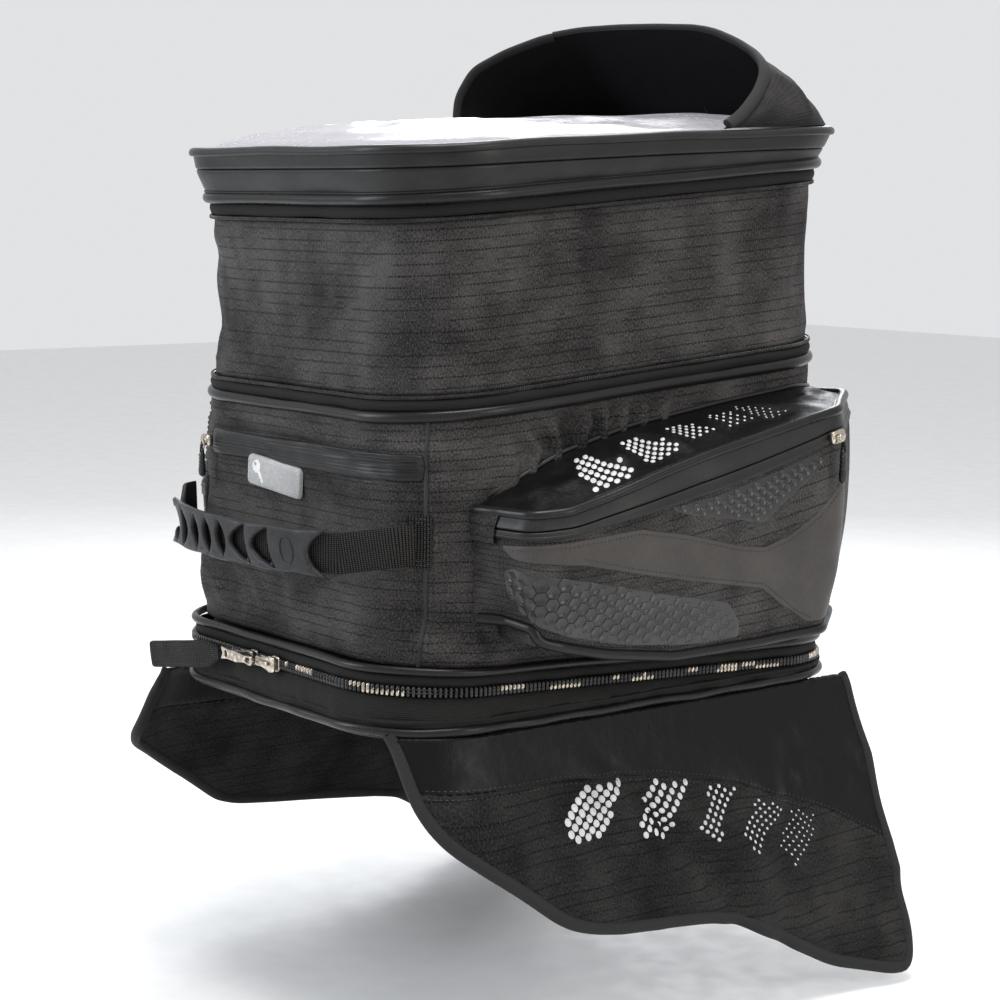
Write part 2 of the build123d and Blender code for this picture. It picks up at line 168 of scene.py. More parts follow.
def unit(v):
    return v / np.maximum(np.linalg.norm(v, axis=-1, keepdims=True), 1e-9)


def alike(*values):
    """The values as arrays of floats of one shape."""
    return [np.asarray(value, float) for value in np.broadcast_arrays(*values)]


def looped(points):
    """The points with the first one again at the end."""
    return np.concatenate([points, points[:1]])


def evened(line, count):
    """A line with its corners rounded off over count points."""
    kernel = np.hanning(count + 2)[1:-1]
    kernel = kernel / kernel.sum()
    columns = [np.convolve(np.pad(column, count // 2, mode="edge"), kernel, "valid") for column in line.T]
    return np.stack(columns, 1)


# ---------------------------------------------------------------- places from the frame
def low(node):
    return np.array(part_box(node)[0]) / MM


def high(node):
    return np.array(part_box(node)[1]) / MM


def middle_of(node):
    return (low(node) + high(node)) / 2


class Level:
    """A plane that tips along the bag, read from a ring node of known height."""

    def __init__(self, node, height, way=1.0, up=0.0):
        size = high(node) - low(node)
        self.slope = way * (size[2] - height) / size[1]
        self.middle = (low(node)[2] + high(node)[2]) / 2 + up

    def z(self, y):
        return self.middle + self.slope * y


BASE_ZIP = Level("base_zip_teeth_lower", 2.75, -1.0, 1.625)
LOW_ZIP = Level("expander_teeth_lower", 3.0)
HIGH_ZIP = Level("expander_teeth_upper", 3.0)
RIM = Level("lid_rim", 6.0, 1.0, -2.4)
CORNER = 70.0
BODY = (high("expander_tape_lower")[0], high("expander_tape_lower")[1], CORNER)
BASE = (high("base_zip_teeth_lower")[0], high("base_zip_teeth_lower")[1], CORNER)
BAND_LOW = (BODY[0] + 0.5, BODY[1] + 2.0, CORNER - 2)
BAND_TOP = (high("lid_rim")[0] - 1.5, high("lid_rim")[1] - 1.5, CORNER - 4)


def side_places(outline, step):
    """Places (0 to 9) round a rounded rectangle from the middle of its front, and the length up to each."""
    half_x, half_y, radius = outline
    a, b, quarter = half_x - radius, half_y - radius, math.pi / 2 * radius
    q, s, start = [], [], 0.0
    for number, length in enumerate((a, quarter, 2 * b, quarter, 2 * a, quarter, 2 * b, quarter, a)):
        count = max(2, round(length / step))
        q += [number + i / count for i in range(count)]
        s += [start + length * i / count for i in range(count)]
        start += length
    return np.array(q), np.array(s), start


def round_the_bag(q, half_x, half_y, radius):
    """(x, y, outward x, outward y) at places q of a rounded rectangle."""
    k = np.floor(q).astype(int) % 9
    f = q - np.floor(q)
    a, b = half_x - radius, half_y - radius
    turn = math.pi / 2 * f
    zero, one = np.zeros_like(f), np.ones_like(f)
    table = [
        (-f * a, half_y + zero, zero, one),
        (-a - radius * np.sin(turn), b + radius * np.cos(turn), -np.sin(turn), np.cos(turn)),
        (-half_x + zero, b - 2 * b * f, -one, zero),
        (-a - radius * np.cos(turn), -b - radius * np.sin(turn), -np.cos(turn), -np.sin(turn)),
        (-a + 2 * a * f, -half_y + zero, zero, -one),
        (a + radius * np.sin(turn), -b - radius * np.cos(turn), np.sin(turn), -np.cos(turn)),
        (half_x + zero, -b + 2 * b * f, one, zero),
        (a + radius * np.cos(turn), b + radius * np.sin(turn), np.cos(turn), np.sin(turn)),
        (a - a * f, half_y + zero, zero, one),
    ]
    return [np.select([k == i for i in range(9)], [row[c] for row in table]) for c in range(4)]


def rim_lift(y, out_x):
    """The lid's edge rises softly along the middle of both sides."""
    return 0.8 * np.clip(1 - (y / 165) ** 2, 0, 1) * ramp(np.abs(out_x), 0.4, 1.0)


# ---------------------------------------------------------------- building pieces
class Piece:
    """Collects faces, then becomes one object that rides on a body."""

    def __init__(self, name):
        self.name = name
        self.points, self.loops, self.sizes, self.uvs, self.kinds = [], [], [], [], []
        self.count = 0

    def faces(self, points, faces, uv, kind=0):
        """faces is an array of corners, one row per face; uv has one value per point, or per corner."""
        faces = np.asarray(faces)
        uv = np.asarray(uv, float)
        self.points.append(np.asarray(points, float).reshape(-1, 3))
        self.loops.append((faces + self.count).ravel())
        self.sizes.append(np.full(len(faces), faces.shape[1]))
        self.uvs.append(uv[faces].reshape(-1, 2) if uv.ndim == 2 else uv.reshape(-1, 2))
        self.kinds.append(np.full(len(faces), kind))
        self.count += len(self.points[-1])

    def grid(self, points, u, v, closed=False, tube=False, kind=0):
        """A sheet of (rows, columns, 3) points. closed joins the last row to the first, tube the columns."""
        rows, columns = points.shape[:2]
        i, j = np.meshgrid(
            np.arange(rows if closed else rows - 1), np.arange(columns if tube else columns - 1),
            indexing="ij"
        )
        i, j = i.ravel(), j.ravel()
        i2, j2 = i + 1, j + 1
        faces = np.stack([i * columns + j, i2 % rows * columns + j, i2 % rows * columns + j2 % columns,
                          i * columns + j2 % columns], 1)
        u, v = np.asarray(u, float), np.asarray(v, float)
        uv = np.stack([np.stack([u[a], v[b]], 1) for a, b in ((i, j), (i2, j), (i2, j2), (i, j2))], 1)
        self.faces(points.reshape(-1, 3), faces, uv[None], kind)

    def copies(self, points, faces, origins, frames, kind=0):
        """The same small shape at many places; frames holds three axes for each."""
        placed = origins[:, None, :] + np.einsum("kc,ncd->nkd", points, frames)
        step = np.arange(len(origins))[:, None, None] * len(points)
        faces = (np.asarray(faces)[None] + step).reshape(-1, len(faces[0]))
        self.faces(placed, faces, np.tile(points[:, :2], (len(origins), 1)), kind)

    def done(self, body, slot, materials, replaces=None):
        """Makes the object; replaces is the CAD node that it stands for. Without a body it is left
        unattached.
        """
        mesh = bpy.data.meshes.new(self.name)
        points = np.concatenate(self.points) * MM
        loops, sizes = np.concatenate(self.loops), np.concatenate(self.sizes)
        mesh.vertices.add(len(points))
        mesh.vertices.foreach_set("co", points.ravel())
        mesh.loops.add(len(loops))
        mesh.loops.foreach_set("vertex_index", loops)
        mesh.polygons.add(len(sizes))
        mesh.polygons.foreach_set("loop_start", np.concatenate([[0], np.cumsum(sizes)[:-1]]))
        mesh.polygons.foreach_set("material_index", np.concatenate(self.kinds))
        layer = mesh.uv_layers.new(name="weave")
        layer.data.foreach_set("uv", (np.concatenate(self.uvs) * MM).ravel())
        mesh.update(calc_edges=True)
        mesh.validate()
        made = bmesh.new()
        made.from_mesh(mesh)
        bmesh.ops.recalc_face_normals(made, faces=made.faces)
        made.to_mesh(mesh)
        made.free()
        mesh.polygons.foreach_set("use_smooth", np.full(len(mesh.polygons), True))
        for material in materials if isinstance(materials, list) else [materials]:
            mesh.materials.append(material)
        obj = bpy.data.objects.new(self.name, mesh)
        bpy.context.scene.collection.objects.link(obj)
        if body:
            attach(obj, body)
        if replaces:
            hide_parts(replaces)
        return obj


def circle(radius, count=14, out=0.0, up=0.0, flat=1.0):
    """Closed profile of (out, up) pairs."""
    turn = np.linspace(0, 2 * math.pi, count, endpoint=False)
    return np.stack([out + radius * flat * np.cos(turn), up + radius * np.sin(turn)], 1)


def strip(inner, outer, bottom, top, rows=2, bulge=0.0, ends=0.8):
    """Closed profile of a flat band with rounded edges, its outer face bulging a little."""
    t = np.linspace(0, 1, rows + 1)
    face = np.stack([outer + bulge * np.sin(math.pi * t), bottom + ends + (top - bottom - 2 * ends) * t], 1)
    middle = (inner + outer) / 2
    return np.concatenate([[(inner, bottom + ends), (middle, bottom)], face,
                           [(middle, top), (inner, top - ends)]])


def ring(piece, outline, level, profile, push=None, step=3.0):
    """A closed profile carried right round the bag at a tilted level."""
    q, s, total = side_places(outline, step)
    x, y, out_x, out_y = (a[:, None] for a in round_the_bag(q, *outline))
    out, up = profile[:, 0][None], profile[:, 1][None]
    if push is not None:
        more_out, more_up = push(s[:, None], x, y, out_x, out, up)
        out, up = out + more_out, up + more_up
    points = np.stack(np.broadcast_arrays(x + out_x * out, y + out_y * out, level.z(y) + up), 2)
    piece.grid(points, np.append(s, total), arc_length(looped(profile)), closed=True, tube=True)


def sweep(piece, path, normals, profile, closed=False, kind=0):
    """A closed profile of (along the normal, across) pairs carried along a line."""
    tangent = unit(np.roll(path, -1, 0) - np.roll(path, 1, 0) if closed else np.gradient(path, axis=0))
    normals = unit(normals - (normals * tangent).sum(1, keepdims=True) * tangent)
    across = np.cross(tangent, normals)
    profile = np.asarray(profile, float)
    if profile.ndim == 2:
        profile = np.broadcast_to(profile, (len(path),) + profile.shape)
    points = path[:, None] + normals[:, None] * profile[..., :1] + across[:, None] * profile[..., 1:]
    s = arc_length(looped(path) if closed else path)
    v = arc_length(looped(profile[len(profile) // 2]))
    piece.grid(points, s, v, closed=closed, tube=True, kind=kind)
    if closed:
        return
    for end in (0, -1):
        rim = points[end]
        count = len(rim)
        fan = [(i, (i + 1) % count, count) for i in range(count)]
        uv = np.concatenate([profile[end], profile[end].mean(0)[None]])
        piece.faces(np.concatenate([rim, rim.mean(0)[None]]), fan, uv, kind)


def inside(points, outline):
    """Which points lie inside a closed outline."""
    x, y = points[:, 0][:, None], points[:, 1][:, None]
    x1, y1 = outline.T
    x2, y2 = np.roll(outline, -1, 0).T
    with np.errstate(divide="ignore", invalid="ignore"):
        crossing = ((y1 > y) != (y2 > y)) & (x < (x2 - x1) * (y - y1) / (y2 - y1) + x1)
    return crossing.sum(1) % 2 == 1


def edge_distance(points, outlines):
    """How far each point is from the nearest outline."""
    best = np.full(len(points), 1e9)
    for outline in outlines:
        a, b = outline, np.roll(outline, -1, 0)
        run = b - a
        length = np.maximum((run ** 2).sum(1), 1e-9)
        t = np.clip(((points[:, None] - a) * run).sum(2) / length, 0, 1)
        best = np.minimum(best, np.linalg.norm(points[:, None] - a - t[..., None] * run, axis=2).min(1))
    return best


def slab(piece, outline, place, thick, holes=(), edge=1.0, step=4.0, both=False, kind=0):
    """A patch with rounded edges on any surface. outline and holes are in the patch's own millimetres,
    and place(a, b, n) turns them and a height n into points. both gives it a back as well as a face."""
    def kept(points):
        keep = inside(points, loops[0])
        for hole in loops[1:]:
            keep &= ~inside(points, hole)
        return keep

    loops = [np.asarray(outline, float)] + [np.asarray(h, float) for h in holes]
    points, edges, start = [], [], 0
    for loop in loops:
        count = len(loop)
        points.append(loop)
        edges += [(start + i, start + (i + 1) % count) for i in range(count)]
        start += count
    lo, hi = loops[0].min(0), loops[0].max(0)
    a, b = np.meshgrid(np.arange(lo[0], hi[0], step), np.arange(lo[1], hi[1], step))
    a[1::2] += step / 2
    inner = np.stack([a.ravel(), b.ravel()], 1)
    for loop in loops:
        run = unit(np.roll(loop, -1, 0) - np.roll(loop, 1, 0))
        side = np.stack([-run[:, 1], run[:, 0]], 1)
        for way in (1, -1):
            inner = np.concatenate([inner] + [loop + way * side * edge * part for part in (0.25, 0.6, 1.0)])
    inner = inner[kept(inner)]
    inner = inner[edge_distance(inner, loops) > 0.2 * edge]
    points = np.concatenate(points + [inner])
    found = delaunay_2d_cdt([Vector(p) for p in points], edges, [], 0, 1e-4)
    flat, faces = np.array([tuple(v) for v in found[0]]), np.array(found[2])
    faces = faces[kept(flat[faces].mean(1))]
    distance = edge_distance(flat, loops)
    t = np.clip(distance / edge, 0, 1)
    lift = np.sqrt(np.maximum(1 - (1 - t) ** 2, 0)) * thick
    if both:
        face = place(flat[:, 0], flat[:, 1], lift / 2)
        back = place(flat[:, 0], flat[:, 1], -lift / 2)
        rim = distance < 1e-3
        index = np.arange(len(flat)) + len(flat)
        index[rim] = np.arange(len(flat))[rim]
        faces = np.concatenate([faces, index[faces][:, ::-1]])
        piece.faces(np.concatenate([face, back]), faces, np.concatenate([flat, flat]), kind)
    else:
        piece.faces(place(flat[:, 0], flat[:, 1], lift - 0.15), faces, flat, kind)


STITCH = np.array([(-1, 0, 0), (1, 0, 0), (0, 1, 0), (0, -1, 0), (-0.55, 0, 1), (0.55, 0, 1)], float)
STITCH_FACES = [(0, 3, 4), (4, 3, 5), (5, 3, 1), (0, 4, 2), (4, 5, 2), (5, 1, 2), (0, 2, 3), (2, 1, 3)]


def stitches(piece, path, normals, pitch, length, width):
    """A row of thread stitches along a line of points."""
    s = arc_length(path)
    places = np.arange(pitch / 2, s[-1], pitch)

    def at(where, line):
        return np.stack([np.interp(where, s, column) for column in line.T], 1)
    up = unit(at(places, normals))
    along = unit(at(places + 0.5, path) - at(places - 0.5, path))
    along = unit(along - (along * up).sum(1, keepdims=True) * up)
    frames = np.stack([along * length / 2, np.cross(up, along) * width, up * width], 1)
    piece.copies(STITCH, STITCH_FACES, at(places, path) + up * 0.1, frames)


def sew(piece, place, line, n, pitch, length, width):
    """Stitches along a line on a placed surface, n above it."""
    path, normals = surface_path(place, line[:, 0], line[:, 1], n)
    stitches(piece, path, normals, pitch, length, width)


def surface_path(place, a, b, n=0.0):
    """Points and normals along a line on a placed surface."""
    a, b = np.broadcast_arrays(np.asarray(a, float), np.asarray(b, float))
    here = place(a, b, np.full(a.shape, n))
    return here, unit(place(a, b, np.full(a.shape, n + 1.0)) - here)


DOT_THICK = 0.35
DOT_SIDES = 10


def cone_faces(sides, rows):
    """Faces of rows of points, each a ring of sides, that close on one last point."""
    faces = []
    for row in range(0, sides * (rows - 1), sides):
        ahead = [(i, (i + 1) % sides) for i in range(sides)]
        faces += [(row + i, row + j, row + sides + j) for i, j in ahead]
        faces += [(row + i, row + sides + j, row + sides + i) for i, j in ahead]
    last = sides * (rows - 1)
    return faces + [(last + i, last + (i + 1) % sides, sides * rows) for i in range(sides)]


def dots(piece, spots, sizes, place):
    """Printed dots that follow a placed surface."""
    turn = np.linspace(0, 2 * math.pi, DOT_SIDES, endpoint=False)
    heights = np.repeat([-0.1, DOT_THICK, DOT_THICK], [DOT_SIDES, DOT_SIDES, 1])
    for (x, y), radius in zip(spots, sizes):
        rim = np.stack([x + radius * np.cos(turn), y + radius * np.sin(turn)], 1)
        flat = np.concatenate([rim, rim * 0.8 + 0.2 * np.array([x, y]), [(x, y)]])
        piece.faces(place(flat[:, 0], flat[:, 1], heights), cone_faces(DOT_SIDES, 2), flat)


# ---------------------------------------------------------------- materials
class Shade:
    """A Principled material and short names for the nodes that feed it."""

    def __init__(self, name, colour, rough, **sockets):
        self.mat = bpy.data.materials.new(name)
        self.mat.use_nodes = True
        self.nodes, self.links = self.mat.node_tree.nodes, self.mat.node_tree.links
        self.bsdf = self.nodes["Principled BSDF"]
        self.bsdf.inputs["Base Color"].default_value = (*colour, 1)
        self.bsdf.inputs["Roughness"].default_value = rough
        for key, value in sockets.items():
            self.bsdf.inputs[key.replace("_", " ")].default_value = value
        self.normal = None

    def node(self, kind, inputs, **settings):
        made = self.nodes.new(kind)
        for key, value in settings.items():
            setattr(made, key, value)
        for key, value in inputs.items():
            self.put(value, made.inputs[key])
        return made

    def put(self, value, socket):
        if isinstance(value, bpy.types.NodeSocket):
            self.links.new(value, socket)
        else:
            socket.default_value = value

    def math(self, operation, a, b=0.0, c=0.0):
        return self.node("ShaderNodeMath", {0: a, 1: b, 2: c}, operation=operation).outputs[0]

    def weave(self):
        """The cloth's own millimetres, across and up."""
        uv = self.node("ShaderNodeUVMap", {}, uv_map="weave").outputs[0]
        vector = self.node("ShaderNodeVectorMath", {0: uv, 1: (1000, 1000, 1000)},
                           operation="MULTIPLY").outputs[0]
        split = self.node("ShaderNodeSeparateXYZ", {0: vector})
        return vector, split.outputs[0], split.outputs[1]

    def place(self):
        """Millimetres in the object's own space."""
        at = self.node("ShaderNodeTexCoord", {}).outputs["Object"]
        return self.node("ShaderNodeVectorMath", {0: at, 1: (1000, 1000, 1000)},
                         operation="MULTIPLY").outputs[0]

    def noise(self, vector, scale, detail=2.0, rough=0.55):
        """scale is features per millimetre along x, y and z."""
        if isinstance(scale, (int, float)):
            scale = (scale,) * 3
        vector = self.node("ShaderNodeVectorMath", {0: vector, 1: scale}, operation="MULTIPLY").outputs[0]
        made = self.node("ShaderNodeTexNoise",
                         {"Vector": vector, "Scale": 1.0, "Detail": detail, "Roughness": rough})
        return made.outputs[0]

    def between(self, value, low, high, to_low=0.0, to_high=1.0):
        made = self.node("ShaderNodeMapRange", {0: value, 1: low, 2: high, 3: to_low, 4: to_high})
        made.interpolation_type = "SMOOTHSTEP"
        return made.outputs[0]

    def mix(self, factor, a, b):
        a = (*a, 1) if isinstance(a, tuple) and len(a) == 3 else a
        b = (*b, 1) if isinstance(b, tuple) and len(b) == 3 else b
        return self.node("ShaderNodeMix", {0: factor, 6: a, 7: b}, data_type="RGBA").outputs[2]

    def colour(self, value):
        self.links.new(value, self.bsdf.inputs["Base Color"])

    def rough(self, value):
        self.links.new(value, self.bsdf.inputs["Roughness"])

    def bump(self, height, distance, strength=1.0):
        """distance is the relief in millimetres."""
        made = self.node("ShaderNodeBump", {"Height": height, "Distance": distance * MM,
                                            "Strength": strength})
        if self.normal is not None:
            self.links.new(self.normal, made.inputs["Normal"])
        self.normal = made.outputs[0]
        self.links.new(self.normal, self.bsdf.inputs["Normal"])


def make_ripstop(name, dark, light, gap=7.2, gloss=0.62):
    """Heathered fabric with a broken line of ripstop thread every few millimetres."""
    m = Shade(name, dark, gloss, Specular_IOR_Level=0.14)
    at, u, v = m.weave()
    grain = m.noise(at, (3.0, 2.0, 1.0), 3.0, 0.7)
    heather = m.noise(at, (1.1, 0.55, 1.0), 3.0)
    blotch = m.noise(at, 0.018, 4.0)
    row = m.math("DIVIDE", v, gap)
    from_line = m.math("ABSOLUTE", m.math("SUBTRACT", m.math("FRACT", row), 0.5))
    line = m.between(from_line, 0.045, 0.09, 1.0, 0.0)
    shift = m.math("MULTIPLY", m.math("FLOOR", row), 0.37)
    dash = m.between(m.math("PINGPONG", m.math("ADD", m.math("DIVIDE", u, 2.6), shift), 0.5), 0.13, 0.2)
    patchy = m.between(m.noise(at, (0.03, 0.14, 1.0), 2.0), 0.36, 0.5)
    thread = m.math("MULTIPLY", m.math("MULTIPLY", line, dash), patchy)
    tone = m.math("ADD", m.math("MULTIPLY", grain, 0.75), m.math("MULTIPLY", heather, 0.85))
    tone = m.between(m.math("ADD", tone, m.math("MULTIPLY", blotch, 0.7)), 0.93, 1.42)
    base = m.mix(tone, dark, light)
    m.colour(m.mix(m.math("MULTIPLY", thread, 0.8), base, tuple(c * 0.3 for c in dark)))
    m.rough(m.between(tone, 0.0, 1.0, gloss + 0.06, gloss - 0.08))
    weft = m.math("PINGPONG", m.math("MULTIPLY", v, 1.35), 0.5)
    warp = m.math("PINGPONG", m.math("MULTIPLY", u, 1.5), 0.5)
    height = m.math("ADD", m.math("MULTIPLY", weft, 0.5), m.math("MULTIPLY", warp, 0.5))
    m.bump(m.math("ADD", height, m.math("MULTIPLY", grain, 1.3)), 0.16, 0.8)
    m.bump(thread, -0.4, 0.9)
    m.bump(m.noise(at, (0.09, 0.06, 1.0), 4.0, 0.6), 2.4, 0.5)
    return m.mat


def make_satin(name, dark, light, gloss=0.36):
    """Smooth coated nylon: a fine twill, slightly crumpled."""
    m = Shade(name, dark, gloss, Specular_IOR_Level=0.16)
    at, u, v = m.weave()
    twill = m.math("PINGPONG", m.math("ADD", m.math("MULTIPLY", u, 1.3), m.math("MULTIPLY", v, 1.3)), 0.5)
    crumple = m.noise(at, 0.07, 5.0, 0.65)
    m.colour(m.mix(m.between(m.math("ADD", crumple, m.math("MULTIPLY", twill, 0.3)), 0.35, 0.9), dark, light))
    m.rough(m.between(crumple, 0.3, 0.7, gloss + 0.1, gloss - 0.06))
    m.bump(m.math("ADD", twill, m.noise(at, 1.5, 2.0)), 0.07, 0.7)
    m.bump(crumple, 1.6, 0.5)
    return m.mat


def make_coated(name, dark, light, gloss=0.42, across=2.2):
    """Polyurethane film over tape, with a fine grain across the run."""
    m = Shade(name, dark, gloss, Specular_IOR_Level=0.24)
    at, _, _ = m.weave()
    grain = m.noise(at, (across, 0.22, 1.0), 3.0)
    patches = m.noise(at, 0.03, 3.0)
    m.colour(m.mix(m.between(m.math("ADD", grain, patches), 0.6, 1.4), dark, light))
    m.rough(m.between(patches, 0.3, 0.7, gloss + 0.05, gloss - 0.05))
    m.bump(grain, 0.14, 0.7)
    return m.mat


def make_tape(name, dark, light, pitch=1.1, gloss=0.7):
    """Woven tape: a small herringbone."""
    m = Shade(name, dark, gloss, Specular_IOR_Level=0.1)
    at, u, v = m.weave()
    zigzag = m.math("MULTIPLY", m.math("PINGPONG", m.math("DIVIDE", v, 2.4), 0.5), 1.6)
    ribs = m.math("PINGPONG", m.math("ADD", m.math("DIVIDE", u, pitch), zigzag), 0.5)
    rows = m.math("PINGPONG", m.math("DIVIDE", v, pitch * 0.8), 0.5)
    fuzz = m.noise(at, 1.6, 3.0)
    tone = m.between(m.math("ADD", m.math("ADD", ribs, rows), fuzz), 0.5, 1.5)
    m.colour(m.mix(tone, dark, light))
    m.bump(m.math("ADD", m.math("ADD", ribs, rows), m.math("MULTIPLY", fuzz, 0.5)), 0.22, 0.8)
    return m.mat


def make_moulded(name, dark, light, gloss, grain=0.9, relief=0.06, **sockets):
    """Moulded rubber or plastic with a fine speckled grain and scuffs."""
    m = Shade(name, dark, gloss, **sockets)
    at = m.place()
    speckle, cloud = m.noise(at, grain, 3.0), m.noise(at, 0.05, 4.0, 0.6)
    m.colour(m.mix(m.between(m.math("ADD", speckle, cloud), 0.7, 1.35), dark, light))
    m.rough(m.between(cloud, 0.3, 0.7, gloss + 0.08, gloss - 0.08))
    m.bump(speckle, relief, 0.7)
    return m.mat


def make_metal(name, dark, light, gloss):
    """Die-cast metal with a worn, uneven polish."""
    m = Shade(name, dark, gloss, Metallic=1.0)
    at = m.place()
    patchy = m.noise(at, 0.35, 4.0, 0.6)
    m.colour(m.mix(m.between(patchy, 0.35, 0.65), dark, light))
    m.rough(m.between(patchy, 0.3, 0.7, gloss + 0.12, gloss - 0.06))
    m.bump(m.noise(at, 1.2, 2.0), 0.05, 0.6)
    return m.mat


def make_webbing(name, dark, light):
    """Coarse ribbed webbing; its ribs run across the strap."""
    m = Shade(name, dark, 0.6, Specular_IOR_Level=0.1)
    at, u, v = m.weave()
    ribs = m.math("DIVIDE", u, 1.9)
    rib = m.math("PINGPONG", ribs, 0.5)
    row = m.math("PINGPONG", m.math("ADD", m.math("DIVIDE", v, 1.3), m.math("FLOOR", ribs)), 0.5)
    knot = m.math("MULTIPLY", m.between(rib, 0.08, 0.35), m.between(row, 0.05, 0.3))
    fuzz = m.noise(at, 2.0, 2.0)
    m.colour(m.mix(m.math("MULTIPLY", knot, m.between(fuzz, 0.2, 0.7)), dark, light))
    m.bump(knot, 0.5, 0.9)
    return m.mat


def make_film():
    """Clear film with a faint haze and a few soft ripples."""
    m = Shade("clear_film", (0.56, 0.55, 0.59), 0.1, Transmission_Weight=0.55, IOR=1.35)
    at = m.place()
    m.rough(m.between(m.noise(at, 0.02, 4.0), 0.35, 0.7, 0.16, 0.34))
    m.bump(m.noise(at, 0.018, 3.0), 2.0, 0.5)
    m.bump(m.noise(at, 0.09, 2.0), 0.3, 0.4)
    return m.mat


def make_dotted_rubber():
    """Non-slip sheet: raised pips in staggered rows."""
    m = Shade("grip_sheet_rubber", (0.03, 0.03, 0.03), 0.55)
    at = m.place()
    cells = m.node("ShaderNodeTexVoronoi", {"Vector": at, "Scale": 0.32, "Randomness": 0.08})
    pip = m.between(cells.outputs["Distance"], 0.25, 0.4, 1.0, 0.0)
    m.colour(m.mix(pip, (0.022, 0.022, 0.022), (0.06, 0.06, 0.06)))
    m.bump(pip, 0.6, 0.9)
    m.bump(m.noise(at, 1.5, 2.0), 0.05, 0.5)
    return m.mat


RIPSTOP = make_ripstop("ripstop_charcoal", (0.004, 0.0038, 0.0038), (0.074, 0.069, 0.067))
RIPSTOP_LOW = make_ripstop("ripstop_wing", (0.002, 0.002, 0.002), (0.030, 0.029, 0.028), gloss=0.75)
RIPSTOP_DARK = make_ripstop("ripstop_black", (0.005, 0.005, 0.005), (0.034, 0.032, 0.031), gap=5.0)
SATIN = make_satin("satin_black", (0.001, 0.001, 0.001), (0.005, 0.005, 0.0055), 0.33)
COATED = make_coated("coated_tape", (0.007, 0.007, 0.007), (0.018, 0.0176, 0.0172), 0.36)
ROLL = make_coated("piping_film", (0.005, 0.005, 0.005), (0.013, 0.0125, 0.0125), 0.3, 1.2)
TAPE = make_tape("woven_tape", (0.003, 0.003, 0.003), (0.024, 0.023, 0.022))
BINDING = make_tape("binding_tape", (0.010, 0.010, 0.0105), (0.036, 0.036, 0.037), 0.8, 0.6)
LINING = make_tape("plain_lining", (0.003, 0.003, 0.0035), (0.009, 0.009, 0.010), 0.9, 0.8)
COIL = make_moulded("coil_teeth", (0.010, 0.010, 0.010), (0.045, 0.045, 0.045), 0.2, 0.8, 0.02, Metallic=0.5)
SWOOSH = make_coated("warm_grey_film", (0.036, 0.033, 0.031), (0.056, 0.051, 0.047), 0.5, 1.6)
EMBOSSED = make_moulded("embossed_film", (0.010, 0.010, 0.010), (0.024, 0.023, 0.022), 0.3, 1.1, 0.1)
REFLECTIVE = make_moulded("reflective_print", (0.42, 0.42, 0.43), (0.66, 0.66, 0.67), 0.42, 1.4, 0.04)
THREAD = make_moulded("grey_thread", (0.016, 0.016, 0.016), (0.06, 0.058, 0.056), 0.7, 1.6, 0.03)
DARK_THREAD = make_moulded("black_thread", (0.002, 0.002, 0.002), (0.01, 0.01, 0.01), 0.7, 1.6, 0.03)
HANDLE = make_moulded("handle_rubber_grey", (0.010, 0.010, 0.011), (0.024, 0.024, 0.026), 0.46, 0.7, 0.07,
                      Specular_IOR_Level=0.3)
WEBBING = make_webbing("black_webbing", (0.001, 0.001, 0.001), (0.070, 0.066, 0.061))
BADGE = make_moulded("badge_silver", (0.30, 0.30, 0.30), (0.44, 0.44, 0.43), 0.4, 0.6, 0.05)
BADGE_PRINT = make_moulded("badge_print", (0.68, 0.68, 0.66), (0.8, 0.8, 0.78), 0.45, 0.6, 0.02)
METAL = make_metal("bright_zip_metal", (0.30, 0.26, 0.21), (0.62, 0.56, 0.47), 0.26)
METAL_DARK = make_metal("gunmetal", (0.10, 0.095, 0.09), (0.30, 0.28, 0.26), 0.3)
RUBBER = make_moulded("gloss_black_rubber", (0.004, 0.004, 0.004), (0.012, 0.012, 0.012), 0.28, 0.8, 0.03)
BOARD = make_moulded("stiff_board", (0.03, 0.03, 0.03), (0.06, 0.06, 0.06), 0.6, 0.6, 0.1)
FILM = make_film()
GRIP_SHEET = make_dotted_rubber()


# ---------------------------------------------------------------- round the bag: bands, rolls and teeth
def half_sizes(z):
    """Half width and half length of the bag's wall at height z."""
    wide = np.interp(z, [-10, 80, 400], [BODY[0] - 2, BODY[0], BODY[0]])
    long = np.interp(z, [-10, 80, 400], [BODY[1] + 16, BODY[1] + 2, BODY[1] - 1])
    return wide, long


def wave(s, size, length, seed=0.0):
    """A wave along a seam that comes and goes."""
    return size * np.sin(2 * math.pi * s / length + seed) * np.sin(s / 61.0 + seed)


def sewn_wave(size, length, seed=0.0):
    """A band that isn't quite true: in and out, and up and down, along its run."""
    def push(s, x, y, out_x, out, up):
        return wave(s, size, length, seed), wave(s, size * 0.6, length * 1.7, seed + 1)
    return push


def make_roll(name, outline, tube, level, up, body, node, push):
    """A round roll of piping right round the bag."""
    piece = Piece(name)
    ring(piece, outline, level, circle(tube, 16, -0.2, up), push)
    piece.done(body, "piping", ROLL, node)


def zip_tape(name, outline, level, profile, push, body, node):
    """Woven tape right round the bag."""
    piece = Piece(name)
    ring(piece, outline, level, profile, push)
    piece.done(body, "zip_tape", TAPE, node)


def outline_of(node, inset, corner=CORNER):
    """A rounded rectangle as large as a ring node, moved in by inset."""
    return high(node)[0] - inset, high(node)[1] - inset, corner


